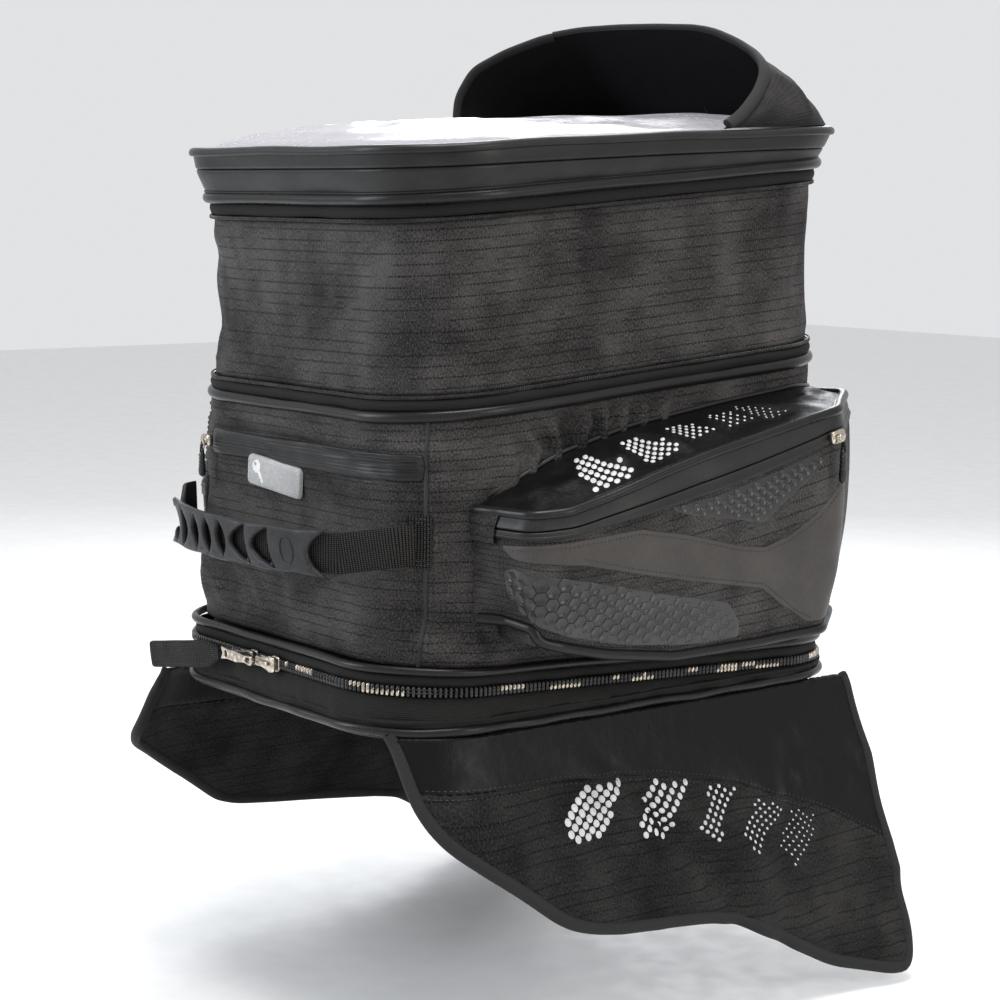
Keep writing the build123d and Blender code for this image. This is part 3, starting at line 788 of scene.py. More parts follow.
TOOTH = np.array([(-.5, 0, -1), (.5, 0, -1), (.5, 0, 1), (-.5, 0, 1),
                  (-.42, .75, -.9), (.42, .75, -.9), (.42, .75, .8), (-.42, .75, .8),
                  (-.2, 1, -.5), (.2, 1, -.5), (.2, 1, .45), (-.2, 1, .45)])
TOOTH_FACES = [(0, 1, 5, 4), (1, 2, 6, 5), (2, 3, 7, 6), (3, 0, 4, 7),
               (4, 5, 9, 8), (5, 6, 10, 9), (6, 7, 11, 10), (7, 4, 8, 11), (8, 9, 10, 11), (0, 3, 2, 1)]


BASE_TOOTH = (3.3, (2.3, 3.0, 2.5))
COIL_TOOTH = (1.55, (0.95, 1.3, 1.5))


def make_teeth(name, outline, level, up, tooth, body, node, lean=0.0):
    """A row of teeth round the bag. tooth is a pitch and (length along the zip, depth, half height).
    On the large teeth, clusters get the bright metal as painted glints, standing in for light reflected off
    the black teeth."""
    pitch, size = tooth
    q, s, _ = side_places(outline, pitch)
    x, y, out_x, out_y = round_the_bag(q, *outline)
    along = unit(np.stack([-out_y, out_x, level.slope * out_x], 1))
    outward = np.stack([out_x, out_y, np.zeros(len(q))], 1)
    upward = np.cross(outward, along)
    upward = unit(upward * np.sign(upward[:, 2:])) + along * lean
    origin = np.stack([x, y, level.z(y) + up], 1) - outward * 0.6
    piece = Piece(name)
    frames = np.stack([along * size[0], outward * size[1], upward * size[2]], 1)
    # clusters of large teeth are made bright metal: painted glints of reflected light, not bare metal
    patchy = (noise(s / 17, up, 0, 12) > 0.22) & (pitch > 2)
    piece.copies(TOOTH, TOOTH_FACES, origin[~patchy], frames[~patchy])
    if patchy.any():
        piece.copies(TOOTH, TOOTH_FACES, origin[patchy], frames[patchy], kind=1)
    ring(piece, outline, level, circle(0.55, 6, -0.9, up, 1.6), step=4)
    piece.done(body, "zip_coil", [COIL, METAL], node)


def make_base():
    """Edge roll, tape and teeth of the base."""
    flat = Level("base_edge_piping", high("base_edge_piping")[2] - low("base_edge_piping")[2])
    flat.slope = 0.0
    edge = outline_of("base_edge_piping", 3.2, CORNER + 2)
    make_roll("base_edge_roll", edge, 3.1, flat, 0.6, "base", "base_edge_piping", sewn_wave(0.9, 54))

    # the lower tape hangs in small wrinkles between the zip and the edge
    piece = Piece("base_tape")
    top = BASE_ZIP.middle - 3.2 - flat.middle
    profile = strip(-2.0, 0.6, -1.5, top, 8, 1.4)

    def wrinkle(s, x, y, out_x, out, up):
        middle = np.clip(up / top, 0, 1)
        fold = creases(s / 16, up / 30, 0, 5) * np.sin(math.pi * middle) * 1.0
        lean = (BASE_ZIP.z(y) - BASE_ZIP.middle) * middle
        return fold + 1.5 * (1 - middle), lean
    ring(piece, (BASE[0] - 0.8, BASE[1] - 0.8, CORNER), flat, profile, wrinkle, 2.5)
    ring(piece, (edge[0] - 0.5, edge[1] - 0.5, CORNER + 1), flat, circle(1.5, 10, 0.2, 7.2),
         sewn_wave(0.6, 70, 1.0))
    piece.done("base", "zip_tape", TAPE, "base_zip_tape_lower")
    make_teeth("base_teeth_lower", BASE, BASE_ZIP, -0.75, BASE_TOOTH, "base", "base_zip_teeth_lower")


def make_lower_rings():
    """Zip, welt, wall top and expander parts that belong to the bag itself."""
    make_teeth("base_teeth_upper", BASE, BASE_ZIP, 1.35, BASE_TOOTH, "bag", "base_zip_teeth_upper")
    zip_tape("base_tape_upper", (BASE[0] - 1, BASE[1] - 1, CORNER), BASE_ZIP,
             strip(-2, 0.4, 2.6, 10.2, 4, 0.8),
             sewn_wave(0.5, 38), "bag", "base_zip_tape_upper")
    make_roll("base_welt_roll", outline_of("base_welt", 3.2, CORNER + 1), 2.7, BASE_ZIP, 13.0, "bag",
              "base_welt", sewn_wave(0.7, 83, 2.0))
    make_roll("expander_roll_lower", outline_of("expander_piping_lower", 4), 4.0, LOW_ZIP, -12.2, "bag",
              "expander_piping_lower", sewn_wave(0.6, 120, 1.0))
    zip_tape("expander_tape_low", BODY, LOW_ZIP, strip(-2, 0.6, -9.0, -1.2, 5, 1.2), sewn_wave(0.5, 47, 0.5),
             "bag", "expander_tape_lower")
    make_teeth("expander_coil_lower", outline_of("expander_teeth_lower", 0), LOW_ZIP, 0.0, COIL_TOOTH, "bag",
               "expander_teeth_lower", 0.35)


def make_upper_rings():
    """Expander parts and the piping that move with the upper body."""
    make_teeth("expander_coil_upper", outline_of("expander_teeth_upper", 0), HIGH_ZIP, 0.0, COIL_TOOTH,
               "upper",
               "expander_teeth_upper", -0.35)
    zip_tape("expander_tape_high", BODY, HIGH_ZIP, strip(-2, 0.6, 1.2, 10.4, 5, 1.2), sewn_wave(0.6, 57, 0.2),
             "upper", "expander_tape_upper")
    make_roll("lid_base_roll", outline_of("lid_base_piping", 2.2), 3.8, HIGH_ZIP, 13.2, "upper",
              "lid_base_piping", sewn_wave(0.7, 140, 0.7))


# ---------------------------------------------------------------- walls
# height of the seam that joins a side pocket's roof to the wall
WALL_SEAM = through((-142, 148), (-128, 157), (-75, 179), (-18, 193), (60, 204), (130, 212), (181, 208))
SEAM = 5.5              # place of the rear corner seam, on the right; the left one is at 3.5
FOOT_UP, HEAD_DOWN = 15.5, 15.0     # the wall stands this far above the base zip and below the expander
WALL_THICK = 4.0


def wall_push(q, s, x, y, z, height):
    """How far the padded wall bulges and creases outwards. height runs from 0 at its foot to 1 at its top."""
    belly = 2.2 * np.sin(math.pi * height)
    rear = ramp(-y, 120, 165)
    right = ramp(x, 100, 148)
    free = smooth(height / 0.12) * smooth((1 - height) / 0.1)
    soft = 2.6 * noise(x / 52, y / 52, z / 40, 3, 2) + 1.0 * creases(x / 34 + z / 60, y / 34, z / 46, 8)
    sag = 2.4 * rear * hump(z, 74, 46) * creases(x / 40 + z / 30, 0, z / 70, 21)
    pleat = 3.4 * rear * hump(z + 0.07 * x, 192, 13) - 2.0 * rear * hump(z + 0.07 * x, 181, 6)
    gathered = hump(y, -50, 125) * hump(z, WALL_SEAM(y) + 10, 34)
    ruche = right * gathered * 5.2 * np.sin(s / 3.0 + 2.4 * noise(s / 26, z / 18, 0, 4))
    under = right * ramp(-y, -10, 90) * hump(z, 50 - 0.05 * y, 17) * 3.2 * np.sin(
        s / 4.2 + z / 12 + 2 * noise(s / 22, z / 14, 0, 6))
    seam = sum(2.2 * hump(q, place + 0.05, 0.06) - 1.4 * hump(q, place - 0.06, 0.10)
               for place in (SEAM, 9 - SEAM))
    return belly + free * (soft + sag + pleat + ruche + under) + seam * free


def wall_surface(q, s, height):
    """Points of the wall's outer face, and the level direction outwards there."""
    wide, long = half_sizes(np.full_like(height, 120.0))
    _, y, _, _ = round_the_bag(q, wide, long, CORNER)
    foot, head = BASE_ZIP.z(y) + FOOT_UP, LOW_ZIP.z(y) - HEAD_DOWN
    z = foot + (head - foot) * height
    wide, long = half_sizes(z)
    x, y, out_x, out_y = round_the_bag(q, wide, long, CORNER)
    push = wall_push(q, s, x, y, z, height)
    return np.stack([x + out_x * push, y + out_y * push, z], -1), np.stack([out_x, out_y, 0 * z], -1)


def make_wall():
    """The padded wall of the lower bag."""
    q, s, total = side_places(BODY, 2.6)
    t = np.linspace(0, 1, 64)
    columns, rows = np.meshgrid(q, t, indexing="ij")
    run = np.broadcast_to(s[:, None], columns.shape)
    outer, normals = wall_surface(columns, run, rows)
    piece = Piece("bag_wall_cloth")
    length = LOW_ZIP.middle - BASE_ZIP.middle - 30
    back = outer - normals * WALL_THICK
    points = np.concatenate([outer, back[:, ::-1]], 1)
    v = np.concatenate([t * length, length + WALL_THICK + t * length, [2 * (length + WALL_THICK)]])
    piece.grid(points, np.append(s, total), v, closed=True, tube=True)
    piece.done("bag", "ripstop_fabric", RIPSTOP, "bag_wall")

    # the double-stitched seams down both rear corners
    seams = Piece("corner_seam_stitching")
    for place in (SEAM, 9 - SEAM):
        run = np.interp(place, q, s)
        for side in (-0.045, 0.045):
            path, normals = wall_surface(*alike(place + side, run, np.linspace(0.02, 0.98, 160)))
            stitches(seams, path, normals, 3.6, 2.6, 0.5)
        path, normals = wall_surface(*alike(place, run, np.linspace(0.0, 1.0, 120)))
        sweep(seams, path, normals, circle(1.5, 10))
    seams.done("bag", "ripstop_fabric", DARK_THREAD)


def gusset_push(x, y, z, height):
    """How far the expander's cloth hangs in, billows and creases."""
    free = smooth(height / 0.1) * smooth((1 - height) / 0.1)
    hollow = -3.0 * np.sin(math.pi * height)
    billow = 2.4 * noise(x / 60, y / 60, z / 70, 31, 2)
    hang = 1.5 * creases(x / 34 + z / 120, y / 34, z / 70, 36)
    left = ramp(-x, 60, 140) * ramp(-y, 60, 150)
    crush = left * (4.0 * creases(x / 60 + z / 44, y / 60, z / 36, 41) - 3.0)
    return free * (billow + hang + crush) + hollow


def make_gusset():
    """The expander's fabric, held top and bottom by its two zips."""
    q, s, total = side_places(BODY, 2.6)
    t = np.linspace(0, 1, 48)
    columns, rows = np.meshgrid(q, t, indexing="ij")
    x, y, out_x, out_y = round_the_bag(columns, *(size - 2.0 for size in BODY))
    z = LOW_ZIP.z(y) + 1.0 + (HIGH_ZIP.z(y) - LOW_ZIP.z(y) - 2.0) * rows
    push = gusset_push(x, y, z, rows)
    outer = np.stack([x + out_x * push, y + out_y * push, z], 2)
    inner = outer - np.stack([out_x, out_y, 0 * z], 2) * 0.8
    height = HIGH_ZIP.middle - LOW_ZIP.middle
    piece = Piece("expander_cloth")
    v = np.concatenate([t * height, height + 1 + t * height, [2 * height + 2]])
    piece.grid(np.concatenate([outer, inner[:, ::-1]], 1), np.append(s, total), v, closed=True, tube=True)
    obj = piece.done(None, "ripstop_fabric", RIPSTOP, "expander_gusset")
    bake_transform(obj)


# ---------------------------------------------------------------- rear wall: key pocket, badge and seams
REAR_STEP = 2.6


def rear_place(x, z, n):
    """Points on the rear wall, n millimetres out from it. x runs on round the corners."""
    x, z, n = alike(x, z, n)
    half = BODY[0] - CORNER
    quarter = math.pi / 2 * CORNER
    corner = np.where(x > 0, 5 + (x - half) / quarter, 4 + (x + half) / quarter)
    q = np.where(np.abs(x) <= half, 4.5 + x / (2 * half), corner)
    places, lengths, _ = side_places(BODY, REAR_STEP)
    foot, head = BASE_ZIP.z(-BODY[1]) + FOOT_UP, LOW_ZIP.z(-BODY[1]) - HEAD_DOWN
    height = np.clip((z - foot) / (head - foot), 0, 1)
    points, normals = wall_surface(q, np.interp(q, places, lengths), height)
    points[..., 2] = z
    return points + normals * n[..., None]


KEY_SLIDER = middle_of("key_zip_slider")
KEY_SLOPE = 0.004
BADGE_SLOPE = -0.075


def key_line(x):
    """Height of the rear pocket's zip."""
    return KEY_SLIDER[2] + KEY_SLOPE * (x - KEY_SLIDER[0])


def rounded_box(left, right, bottom, top, radius, step=2.0):
    return rounded_path([(left, bottom), (right, bottom), (right, top), (left, top)], [radius] * 4, step,
                        True)


def make_key_pocket():
    """The rear pocket's coated zip, its seams and its badge."""
    def place(a, b, n):
        return rear_place(a, b + key_line(a), n + 0.4)
    left, right, half = -96.0, 134.0, 8.4
    piece = Piece("key_zip_facing")
    slab(piece, rounded_box(left, right, -half, half, 5), place, 1.3, edge=1.6, step=3.5)
    # raised cords that run along the facing, either side of the closed zip
    a = np.linspace(left + 4, right - 5, 120)
    for b, size in ((-5.4, 0.5), (-3.2, 0.5), (-1.0, 0.7), (1.0, 0.7), (3.2, 0.5), (5.4, 0.5)):
        path, normals = surface_path(place, a, np.full(len(a), b), 1.1)
        sweep(piece, path, normals, circle(size, 8))
    piece.done("bag", "coated_zip", COATED, "key_pocket_zip")
    thread = Piece("key_pocket_stitching")
    sew(thread, place, looped(rounded_box(left - 3, right + 3.5, -half - 3, half + 3, 8)), 0.0, 3.2, 2.2, 0.4)
    # the pocket's own seam, down from the zip's right end and round under the handle
    pouch = rounded_path([(right + 9, 12), (right + 9, -62), (left + 10, -62)], [14], 3)
    sew(thread, place, pouch, 0.0, 3.4, 2.4, 0.4)
    thread.done("bag", "ripstop_fabric", DARK_THREAD)

    middle = middle_of("key_pocket_badge") + (7, 0, 4)
    lean = math.atan(BADGE_SLOPE)

    def badge_place(a, b, n):
        x = middle[0] + a * math.cos(lean) - b * math.sin(lean)
        z = middle[2] + a * math.sin(lean) + b * math.cos(lean)
        return np.stack([x, middle[1] + 1.0 - np.asarray(n, float), z], -1)
    badge = Piece("key_badge")
    slab(badge, rounded_box(-33, 33, -10.5, 10.5, 5, 1.5), badge_place, 2.4, edge=1.3, step=4)
    badge.done("bag", "badge", BADGE, "key_pocket_badge")
    marks = Piece("key_badge_print")

    def raised(a, b, n):
        return badge_place(a, b, n + 2.3)
    bow_turn = np.linspace(0, 2 * math.pi, 20, endpoint=False)
    bow = np.stack([-21 + 5.0 * np.cos(bow_turn), 3.0 + 4.6 * np.sin(bow_turn)], 1)
    hole = np.stack([-22.4 + 1.4 * np.cos(bow_turn), 4.6 + 1.3 * np.sin(bow_turn)], 1)
    slab(marks, bow, raised, 0.5, holes=[hole], edge=0.4, step=1.2)
    blade = [(-19.6, -0.6), (-16.8, 0.6), (-11.6, -6.6), (-13.4, -7.8), (-15.6, -6.4), (-15.2, -5.0),
             (-17.4, -4.2)]
    slab(marks, blade, raised, 0.5, edge=0.3, step=1.2)
    sew(marks, raised, looped(rounded_box(-30.6, 30.6, -8.2, 8.2, 3.5, 1.5)), 0.0, 2.6, 1.7, 0.28)
    marks.done("bag", "badge", BADGE_PRINT)


# ---------------------------------------------------------------- handle
BOW_R = 262.0           # the grip bows outwards round this radius
BOW_Y = low("handle_grip")[1] + BOW_R - 8.0
GRIP_MIDDLE = middle_of("handle_grip")[2]
GRIP_DEEP = 4.6


def bow_place(a, b, n):
    """a runs along the handle's bow, b up from its middle, n out from it."""
    a, b, n = alike(a, b, n)
    turn, radius = a / BOW_R, BOW_R - GRIP_DEEP / 2 + n
    return np.stack([radius * np.sin(turn), BOW_Y - radius * np.cos(turn), GRIP_MIDDLE + b], -1)


def lens(a, half_width, half_height, lean):
    """A leaf-shaped slot round a."""
    t = np.linspace(-1, 1, 13)
    side = half_width * (1 - t ** 2)
    loop = np.concatenate([np.stack([side, t * half_height], 1),
                           np.stack([-side, t * half_height], 1)[-2:0:-1]])
    return np.stack([a + loop[:, 0] + lean * loop[:, 1], loop[:, 1]], 1)


def crescent(a, wide, half_height, way, lean):
    """A curved slot; way is 1 where it bows to the right."""
    t = np.linspace(-1, 1, 15)
    outer = np.stack([way * wide * (1 - t ** 2), t * half_height], 1)
    inner = np.stack([way * wide * 0.12 * (1 - t ** 2), t * half_height], 1)[-2:0:-1]
    loop = np.concatenate([outer, inner])
    loop[:, 0] -= way * wide * 0.5
    return np.stack([a + loop[:, 0] + lean * loop[:, 1], loop[:, 1]], 1)


def make_handle():
    """The moulded grip, its webbing and the patches that hold it."""
    t = np.linspace(-1, 1, 61)
    reach = 98.5
    top = 14.2 + 1.0 * np.abs(t) ** 3 + 0.4 * np.cos(t * 12)
    bottom = -14.2 - 1.0 * np.abs(t) ** 3 - 0.4 * np.cos(t * 12)
    scoop = np.linspace(1, -1, 13)[1:-1]
    right_end = np.stack([reach - 15 * (1 - scoop ** 2), 14.8 * scoop], 1)
    outline = np.concatenate([np.stack([t * reach, bottom], 1), right_end[::-1],
                              np.stack([t[::-1] * reach, top[::-1]], 1), right_end * (-1, 1)])
    holes = [crescent(-79, 14, 12.2, 1, -0.35), crescent(-60, 14, 12.2, 1, -0.32)]
    holes += [lens(a, 5.9, 11.0, -0.3) for a in (-39, -20, -1)]
    holes += [crescent(20, 19, 12.2, -1, -0.3), crescent(43, 19, 12.2, -1, -0.3)]
    piece = Piece("handle_moulding")
    slab(piece, outline, bow_place, GRIP_DEEP, holes=holes, edge=1.5, step=3.0, both=True)
    # raised detail: an oval, and small marks between the slots along both edges
    turn = np.linspace(0, 2 * math.pi, 40)
    oval = 67 + 5.4 * np.cos(turn) - 1.5 * np.sin(turn), 8.6 * np.sin(turn)
    path, normals = surface_path(bow_place, *oval, GRIP_DEEP / 2)
    sweep(piece, path[:-1], normals[:-1], circle(0.6, 8), closed=True)
    for a in (-48, -28.5, -9.5, 10, 31, 54):
        for way in (-1, 1):
            mark = np.array([(-1.6, 10.8), (1.8, 11.0), (0.3, 8.4)]) * (1, way)
            slab(piece, mark + (a, 0), lambda p, r, n: bow_place(p, r, n + GRIP_DEEP / 2 - 0.1), 0.5,
                 edge=0.4,
                 step=1)
    piece.done("handle", "handle_rubber", HANDLE, "handle_grip")

    # webbing: behind the grip and out to the corner seams
    strap = Piece("handle_strap")
    turns = np.linspace(-0.37, 0.37, 60)
    radius = BOW_R - GRIP_DEEP - 1.8
    bow = np.stack([radius * np.sin(turns), BOW_Y - radius * np.cos(turns)], 1)
    end = np.array([high("handle_webbing")[0] - 1.0, high("handle_webbing")[1] - 1.0])
    half = [(end[0], end[1]), (end[0] - 3, end[1] - 12), (bow[-1][0] + 9, bow[-1][1] + 6)]
    route = np.concatenate([np.array(half) * (-1, 1), bow, np.array(half)[::-1]])
    route = evened(resample(route, 2.0), 9)
    middle = middle_of("handle_webbing")[2]
    sag = np.interp(np.abs(route[:, 0]), [0, 98, 118, 140], [-8, -8, -4, 0])
    path = np.column_stack([route, middle + sag])
    run = unit(np.gradient(route, axis=0))
    normals = np.column_stack([run[:, 1], -run[:, 0], np.zeros(len(run))])
    half = 12.4
    profile = [(-1.1, -half), (-0.6, -half - 0.5), (0.6, -half - 0.5), (1.1, -half), (1.3, -half / 2),
               (1.3, 0),
               (1.3, half / 2), (1.1, half), (0.6, half + 0.5), (-0.6, half + 0.5), (-1.1, half), (-1.1, 0)]
    sweep(strap, path, normals, profile)
    strap.done("handle", "webbing", WEBBING, "handle_webbing")

    # the patches that hold the strap's ends, with their box stitching
    anchors, thread = Piece("strap_anchors"), Piece("strap_anchor_stitching")
    seat_z = GRIP_MIDDLE + 8.0
    for way in (-1, 1):
        place = lambda a, b, n, way=way: rear_place(way * (126 + a), b + seat_z, n + 0.3)
        slab(anchors, rounded_box(-3, 13, -17, 17, 3), place, 1.6, edge=1.2, step=3)
        for inset in (0.0, 2.4):
            box_line = rounded_box(inset, 11 - inset, -14.5 + inset, 14.5 - inset, 1.0)
            sew(thread, place, looped(box_line), 1.6, 2.8, 2.0, 0.4)
    anchors.done("bag", "satin_fabric", WEBBING, "handle_anchors")
    thread.done("bag", "satin_fabric", THREAD)


# ---------------------------------------------------------------- side pockets
REAR_TURN = -125.0      # where the outer face starts to turn in at the rear
# the right pocket's outer face seen from above, from the rear corner round to the front
PLAN = rounded_path([(146, -142), (165, -142), (199, -136), (207, -112), (207, 120), (160, 175), (131, 164)],
                    [6, 16, 30, 26, 14], 2.5)
FRONT_TURN = PLAN[:, 1].argmax() + 1
PLAN_S = arc_length(PLAN)
PLAN_RUN = unit(np.gradient(PLAN, axis=0))
PLAN_OUT = np.stack([PLAN_RUN[:, 1], -PLAN_RUN[:, 0]], 1)
# heights of the lip, the band's lower edge, the zip and the pocket's foot along the bag
LIP = through((-142, 147), (-112, 149), (-84, 155), (-41, 167), (4, 178), (50, 187), (97, 196), (119, 200),
              (150, 204), (181, 207))
BAND = through((-142, 132), (-112, 134), (-84, 139), (-41, 146), (4, 154), (50, 164), (97, 176), (119, 183),
               (150, 189), (181, 194))
ZIP = through(*[(y, BAND(y) + 0.36 * (LIP(y) - BAND(y))) for y in range(-142, 182, 17)])
FOOT = through((-142, 79), (-128, 66), (-75, 54), (-18, 46), (60, 47), (130, 50), (181, 53))


def pocket_outer(s, z, n=0.0):
    """Points of the right pocket's outer face, at length s round its plan and height z."""
    s, z, n = alike(s, z, n)
    x, y = np.interp(s, PLAN_S, PLAN[:, 0]), np.interp(s, PLAN_S, PLAN[:, 1])
    out_x, out_y = np.interp(s, PLAN_S, PLAN_OUT[:, 0]), np.interp(s, PLAN_S, PLAN_OUT[:, 1])
    share = np.clip((z - FOOT(y)) / (LIP(y) - FOOT(y)), 0, 1.05)
    edge = smooth(s / 26) * smooth((PLAN_S[-1] - s) / 26)
    belly = 3.4 * np.sin(math.pi * share)
    tuck = 11 * np.clip(1 - share, 0, 1) ** 2.4 + 4.5 * ramp(share, 0.86, 1.05)
    push = edge * (belly - tuck + 0.9 * noise(s / 45, z / 45, 0, 51)) + n
    return np.stack([x + out_x * push, y + out_y * push, z], -1)


def s_at(y):
    """Length round the plan where the outer face has this y; behind REAR_TURN, y runs on round the corner."""
    along = np.interp(np.maximum(y, REAR_TURN), PLAN[:FRONT_TURN, 1], PLAN_S[:FRONT_TURN])
    return along - np.clip(REAR_TURN - y, 0, None)


def flat_place(y, z, n):
    """The outer face by y and z."""
    return pocket_outer(s_at(y), z, n)


def wall_x(y):
    """Where the bag's wall is, round its corners."""
    past = np.clip(np.abs(y) - (BODY[1] - CORNER), 0, CORNER)
    return BODY[0] - CORNER + np.sqrt(CORNER ** 2 - past ** 2) + 0.4


def pocket_top(s, share, n=0.0):
    """Points of the slanting top, from the wall seam (0) to the lip (1)."""
    s, share, n = alike(s, share, n)
    y_wall = np.interp(s, [0, PLAN_S[-1]], [-142, 164])
    lip = pocket_outer(s, LIP(np.interp(s, PLAN_S, PLAN[:, 1])))
    wall = np.stack([wall_x(y_wall), y_wall, WALL_SEAM(y_wall)], -1)
    point = wall + (lip - wall) * share[..., None]
    crown = np.sin(math.pi * share) * smooth(s / 60) * smooth((PLAN_S[-1] - s) / 60)
    fold = 2.2 * creases(s / 40, share * 1.5, 0, 57) * np.sin(math.pi * share) ** 2
    point[..., 2] += fold - crown * 1.0 + n * 0.9
    point[..., 0] += n * 0.45
    return point


def strip_between(piece, low_line, high_line, n, rows, thick=1.4, span=(0.0, PLAN_S[-1]), edge=0.7):
    """A band on the outer face between two height lines, with its edges turned in."""
    start, end = span
    s = np.linspace(start, end, max(3, round((end - start) / 3.0)))
    y = np.interp(s, PLAN_S, PLAN[:, 1])
    t = np.linspace(0, 1, rows + 1)
    lows, highs = low_line(y), high_line(y)
    z = lows[:, None] + (highs - lows)[:, None] * t
    z[:, 0] += edge
    z[:, -1] -= edge
    face = pocket_outer(s[:, None], z, n + thick)
    foot = pocket_outer(s, lows - 0.15, n - 0.8)[:, None]
    head = pocket_outer(s, highs + 0.15, n - 0.8)[:, None]
    soft_low = pocket_outer(s, lows + edge * 0.2, n + thick * 0.75)[:, None]
    soft_high = pocket_outer(s, highs - edge * 0.2, n + thick * 0.75)[:, None]
    tall = (highs - lows).mean()
    points = np.concatenate([foot, soft_low, face, soft_high, head], 1)
    piece.grid(points, s, np.concatenate([[-1.5, -0.5], t * tall, [tall + 0.5, tall + 1.5]]))


def line_on_pocket(line, n, span, up=0.0):
    """Points and normals along a height line of the outer face, n out from it."""
    s = np.arange(span[0], span[1], 2.0)
    return surface_path(pocket_outer, s, line(np.interp(s, PLAN_S, PLAN[:, 1])) + up, n)


ROOF_WIDE = 60.0        # nominal width of the roof, which its printed dots and its weave are measured on
CELL_SLOPE = 0.87       # columns of hexagonal cells stand this much nearer together than rows
# printed dots: the patch's corners, the pitch, and the first and last dot's radius
ROOF_DOTS = [
    ([(-94, 13), (-76, 13), (-56, 30), (-46, 46), (-62, 54), (-86, 52), (-96, 32)], 5.7, 2.6, 2.4),
    ([(-46, 14), (-26, 14), (-10, 27), (-1, 42), (-18, 46), (-34, 44), (-46, 26)], 5.2, 2.1, 1.8),
    ([(-8, 18), (20, 18), (38, 40), (10, 39)], 4.8, 1.5, 1.2),
    ([(36, 16), (64, 17), (80, 38), (50, 37)], 4.6, 1.05, 0.8),
    ([(76, 13), (96, 14), (104, 40), (82, 38)], 4.4, 0.75, 0.55),
]
WING_DOTS = [
    ([(-62, -43), (-24, -44), (-60, -77), (-80, -77), (-89, -68)], 5.5, 2.6, 2.5),
    ([(-6, -47), (28, -53), (-7, -86), (-24, -84), (-32, -72)], 5.3, 2.3, 2.0),
    ([(42, -56), (66, -63), (35, -93), (19, -79)], 4.7, 1.6, 1.3),
    ([(80, -69), (102, -78), (72, -110), (57, -91)], 4.5, 1.15, 0.9),
    ([(109, -81), (132, -90), (103, -124), (92, -104)], 4.3, 0.8, 0.6),
]
# the grey film's upper edge from the rear forwards, then its lower edge back, by (y, z)
SWOOSH_EDGE = [
    (-160, 128), (-104, 132), (-58, 135), (-18, 128), (28, 117), (51, 114), (75, 120), (99, 132), (119, 150),
    (131, 158), (140, 100), (138, 62), (119, 57), (100, 57), (86, 66), (72, 73), (52, 86), (29, 90),
    (-17, 98),
    (-62, 107), (-104, 116), (-150, 120),
]
SWOOSH_SEAMS = [
    [(-150, 125.5), (-104, 128.5), (-58, 132), (-18, 125), (28, 114), (51, 111), (76, 117), (100, 129),
     (122, 149)],
    [(-104, 120), (-62, 110), (-17, 101), (29, 93), (53, 89), (74, 76), (90, 66), (104, 60)],
]
# embossed fields: outline, its corners' radius, pitch, and the cells' size and depth at two places
CELL_FIELDS = [
    ([(-157, 115), (-102, 106), (-38, 92), (22, 80), (30, 73), (37, 63), (39, 53), (8, 52), (-59, 59),
      (-112, 71),
      (-146, 83), (-158, 97)], 8, 8.4, (-120, 50), (1.0, 0.9), (1.0, 0.55)),
    ([(-36, 146), (4, 151), (50, 161), (108, 176), (98, 162), (74, 146), (48, 131), (-14, 140)],
     6, 6.6, (-40, 120), (0.86, 1.0), (0.7, 0.9)),
]


def dot_patch(piece, place, corners, pitch, large, small, lean, shift=(0, 0), turned=None):
    """Printed dots on a slanted lattice inside a rounded patch, shrinking from large to small along it."""
    corners = np.array(corners, float) + shift
    shape = rounded_path(corners, [min(5, pitch)] * len(corners), 1.5, True)
    lo, hi = shape.min(0), shape.max(0)
    stretch = math.hypot(1, lean)
    offsets = shape[:, 0] - lean * shape[:, 1]
    first, last = offsets.min() + 0.75 * large * stretch, offsets.max() - 0.6 * large * stretch
    columns = max(1, int((last - first) / (pitch * stretch))) + 1
    spots = np.array([(offset + lean * b, b) for offset in np.linspace(first, last, columns)
                      for b in np.arange(lo[1] + 0.7 * large, hi[1] - 0.5 * large, pitch / stretch)])
    spots = spots[inside(spots, shape)]
    spots = spots[edge_distance(spots, [shape]) > 0.45 * large]
    sizes = large + (small - large) * (spots[:, 0] - lo[0]) / (hi[0] - lo[0])
    dots(piece, turned(spots) if turned else spots, sizes, place)


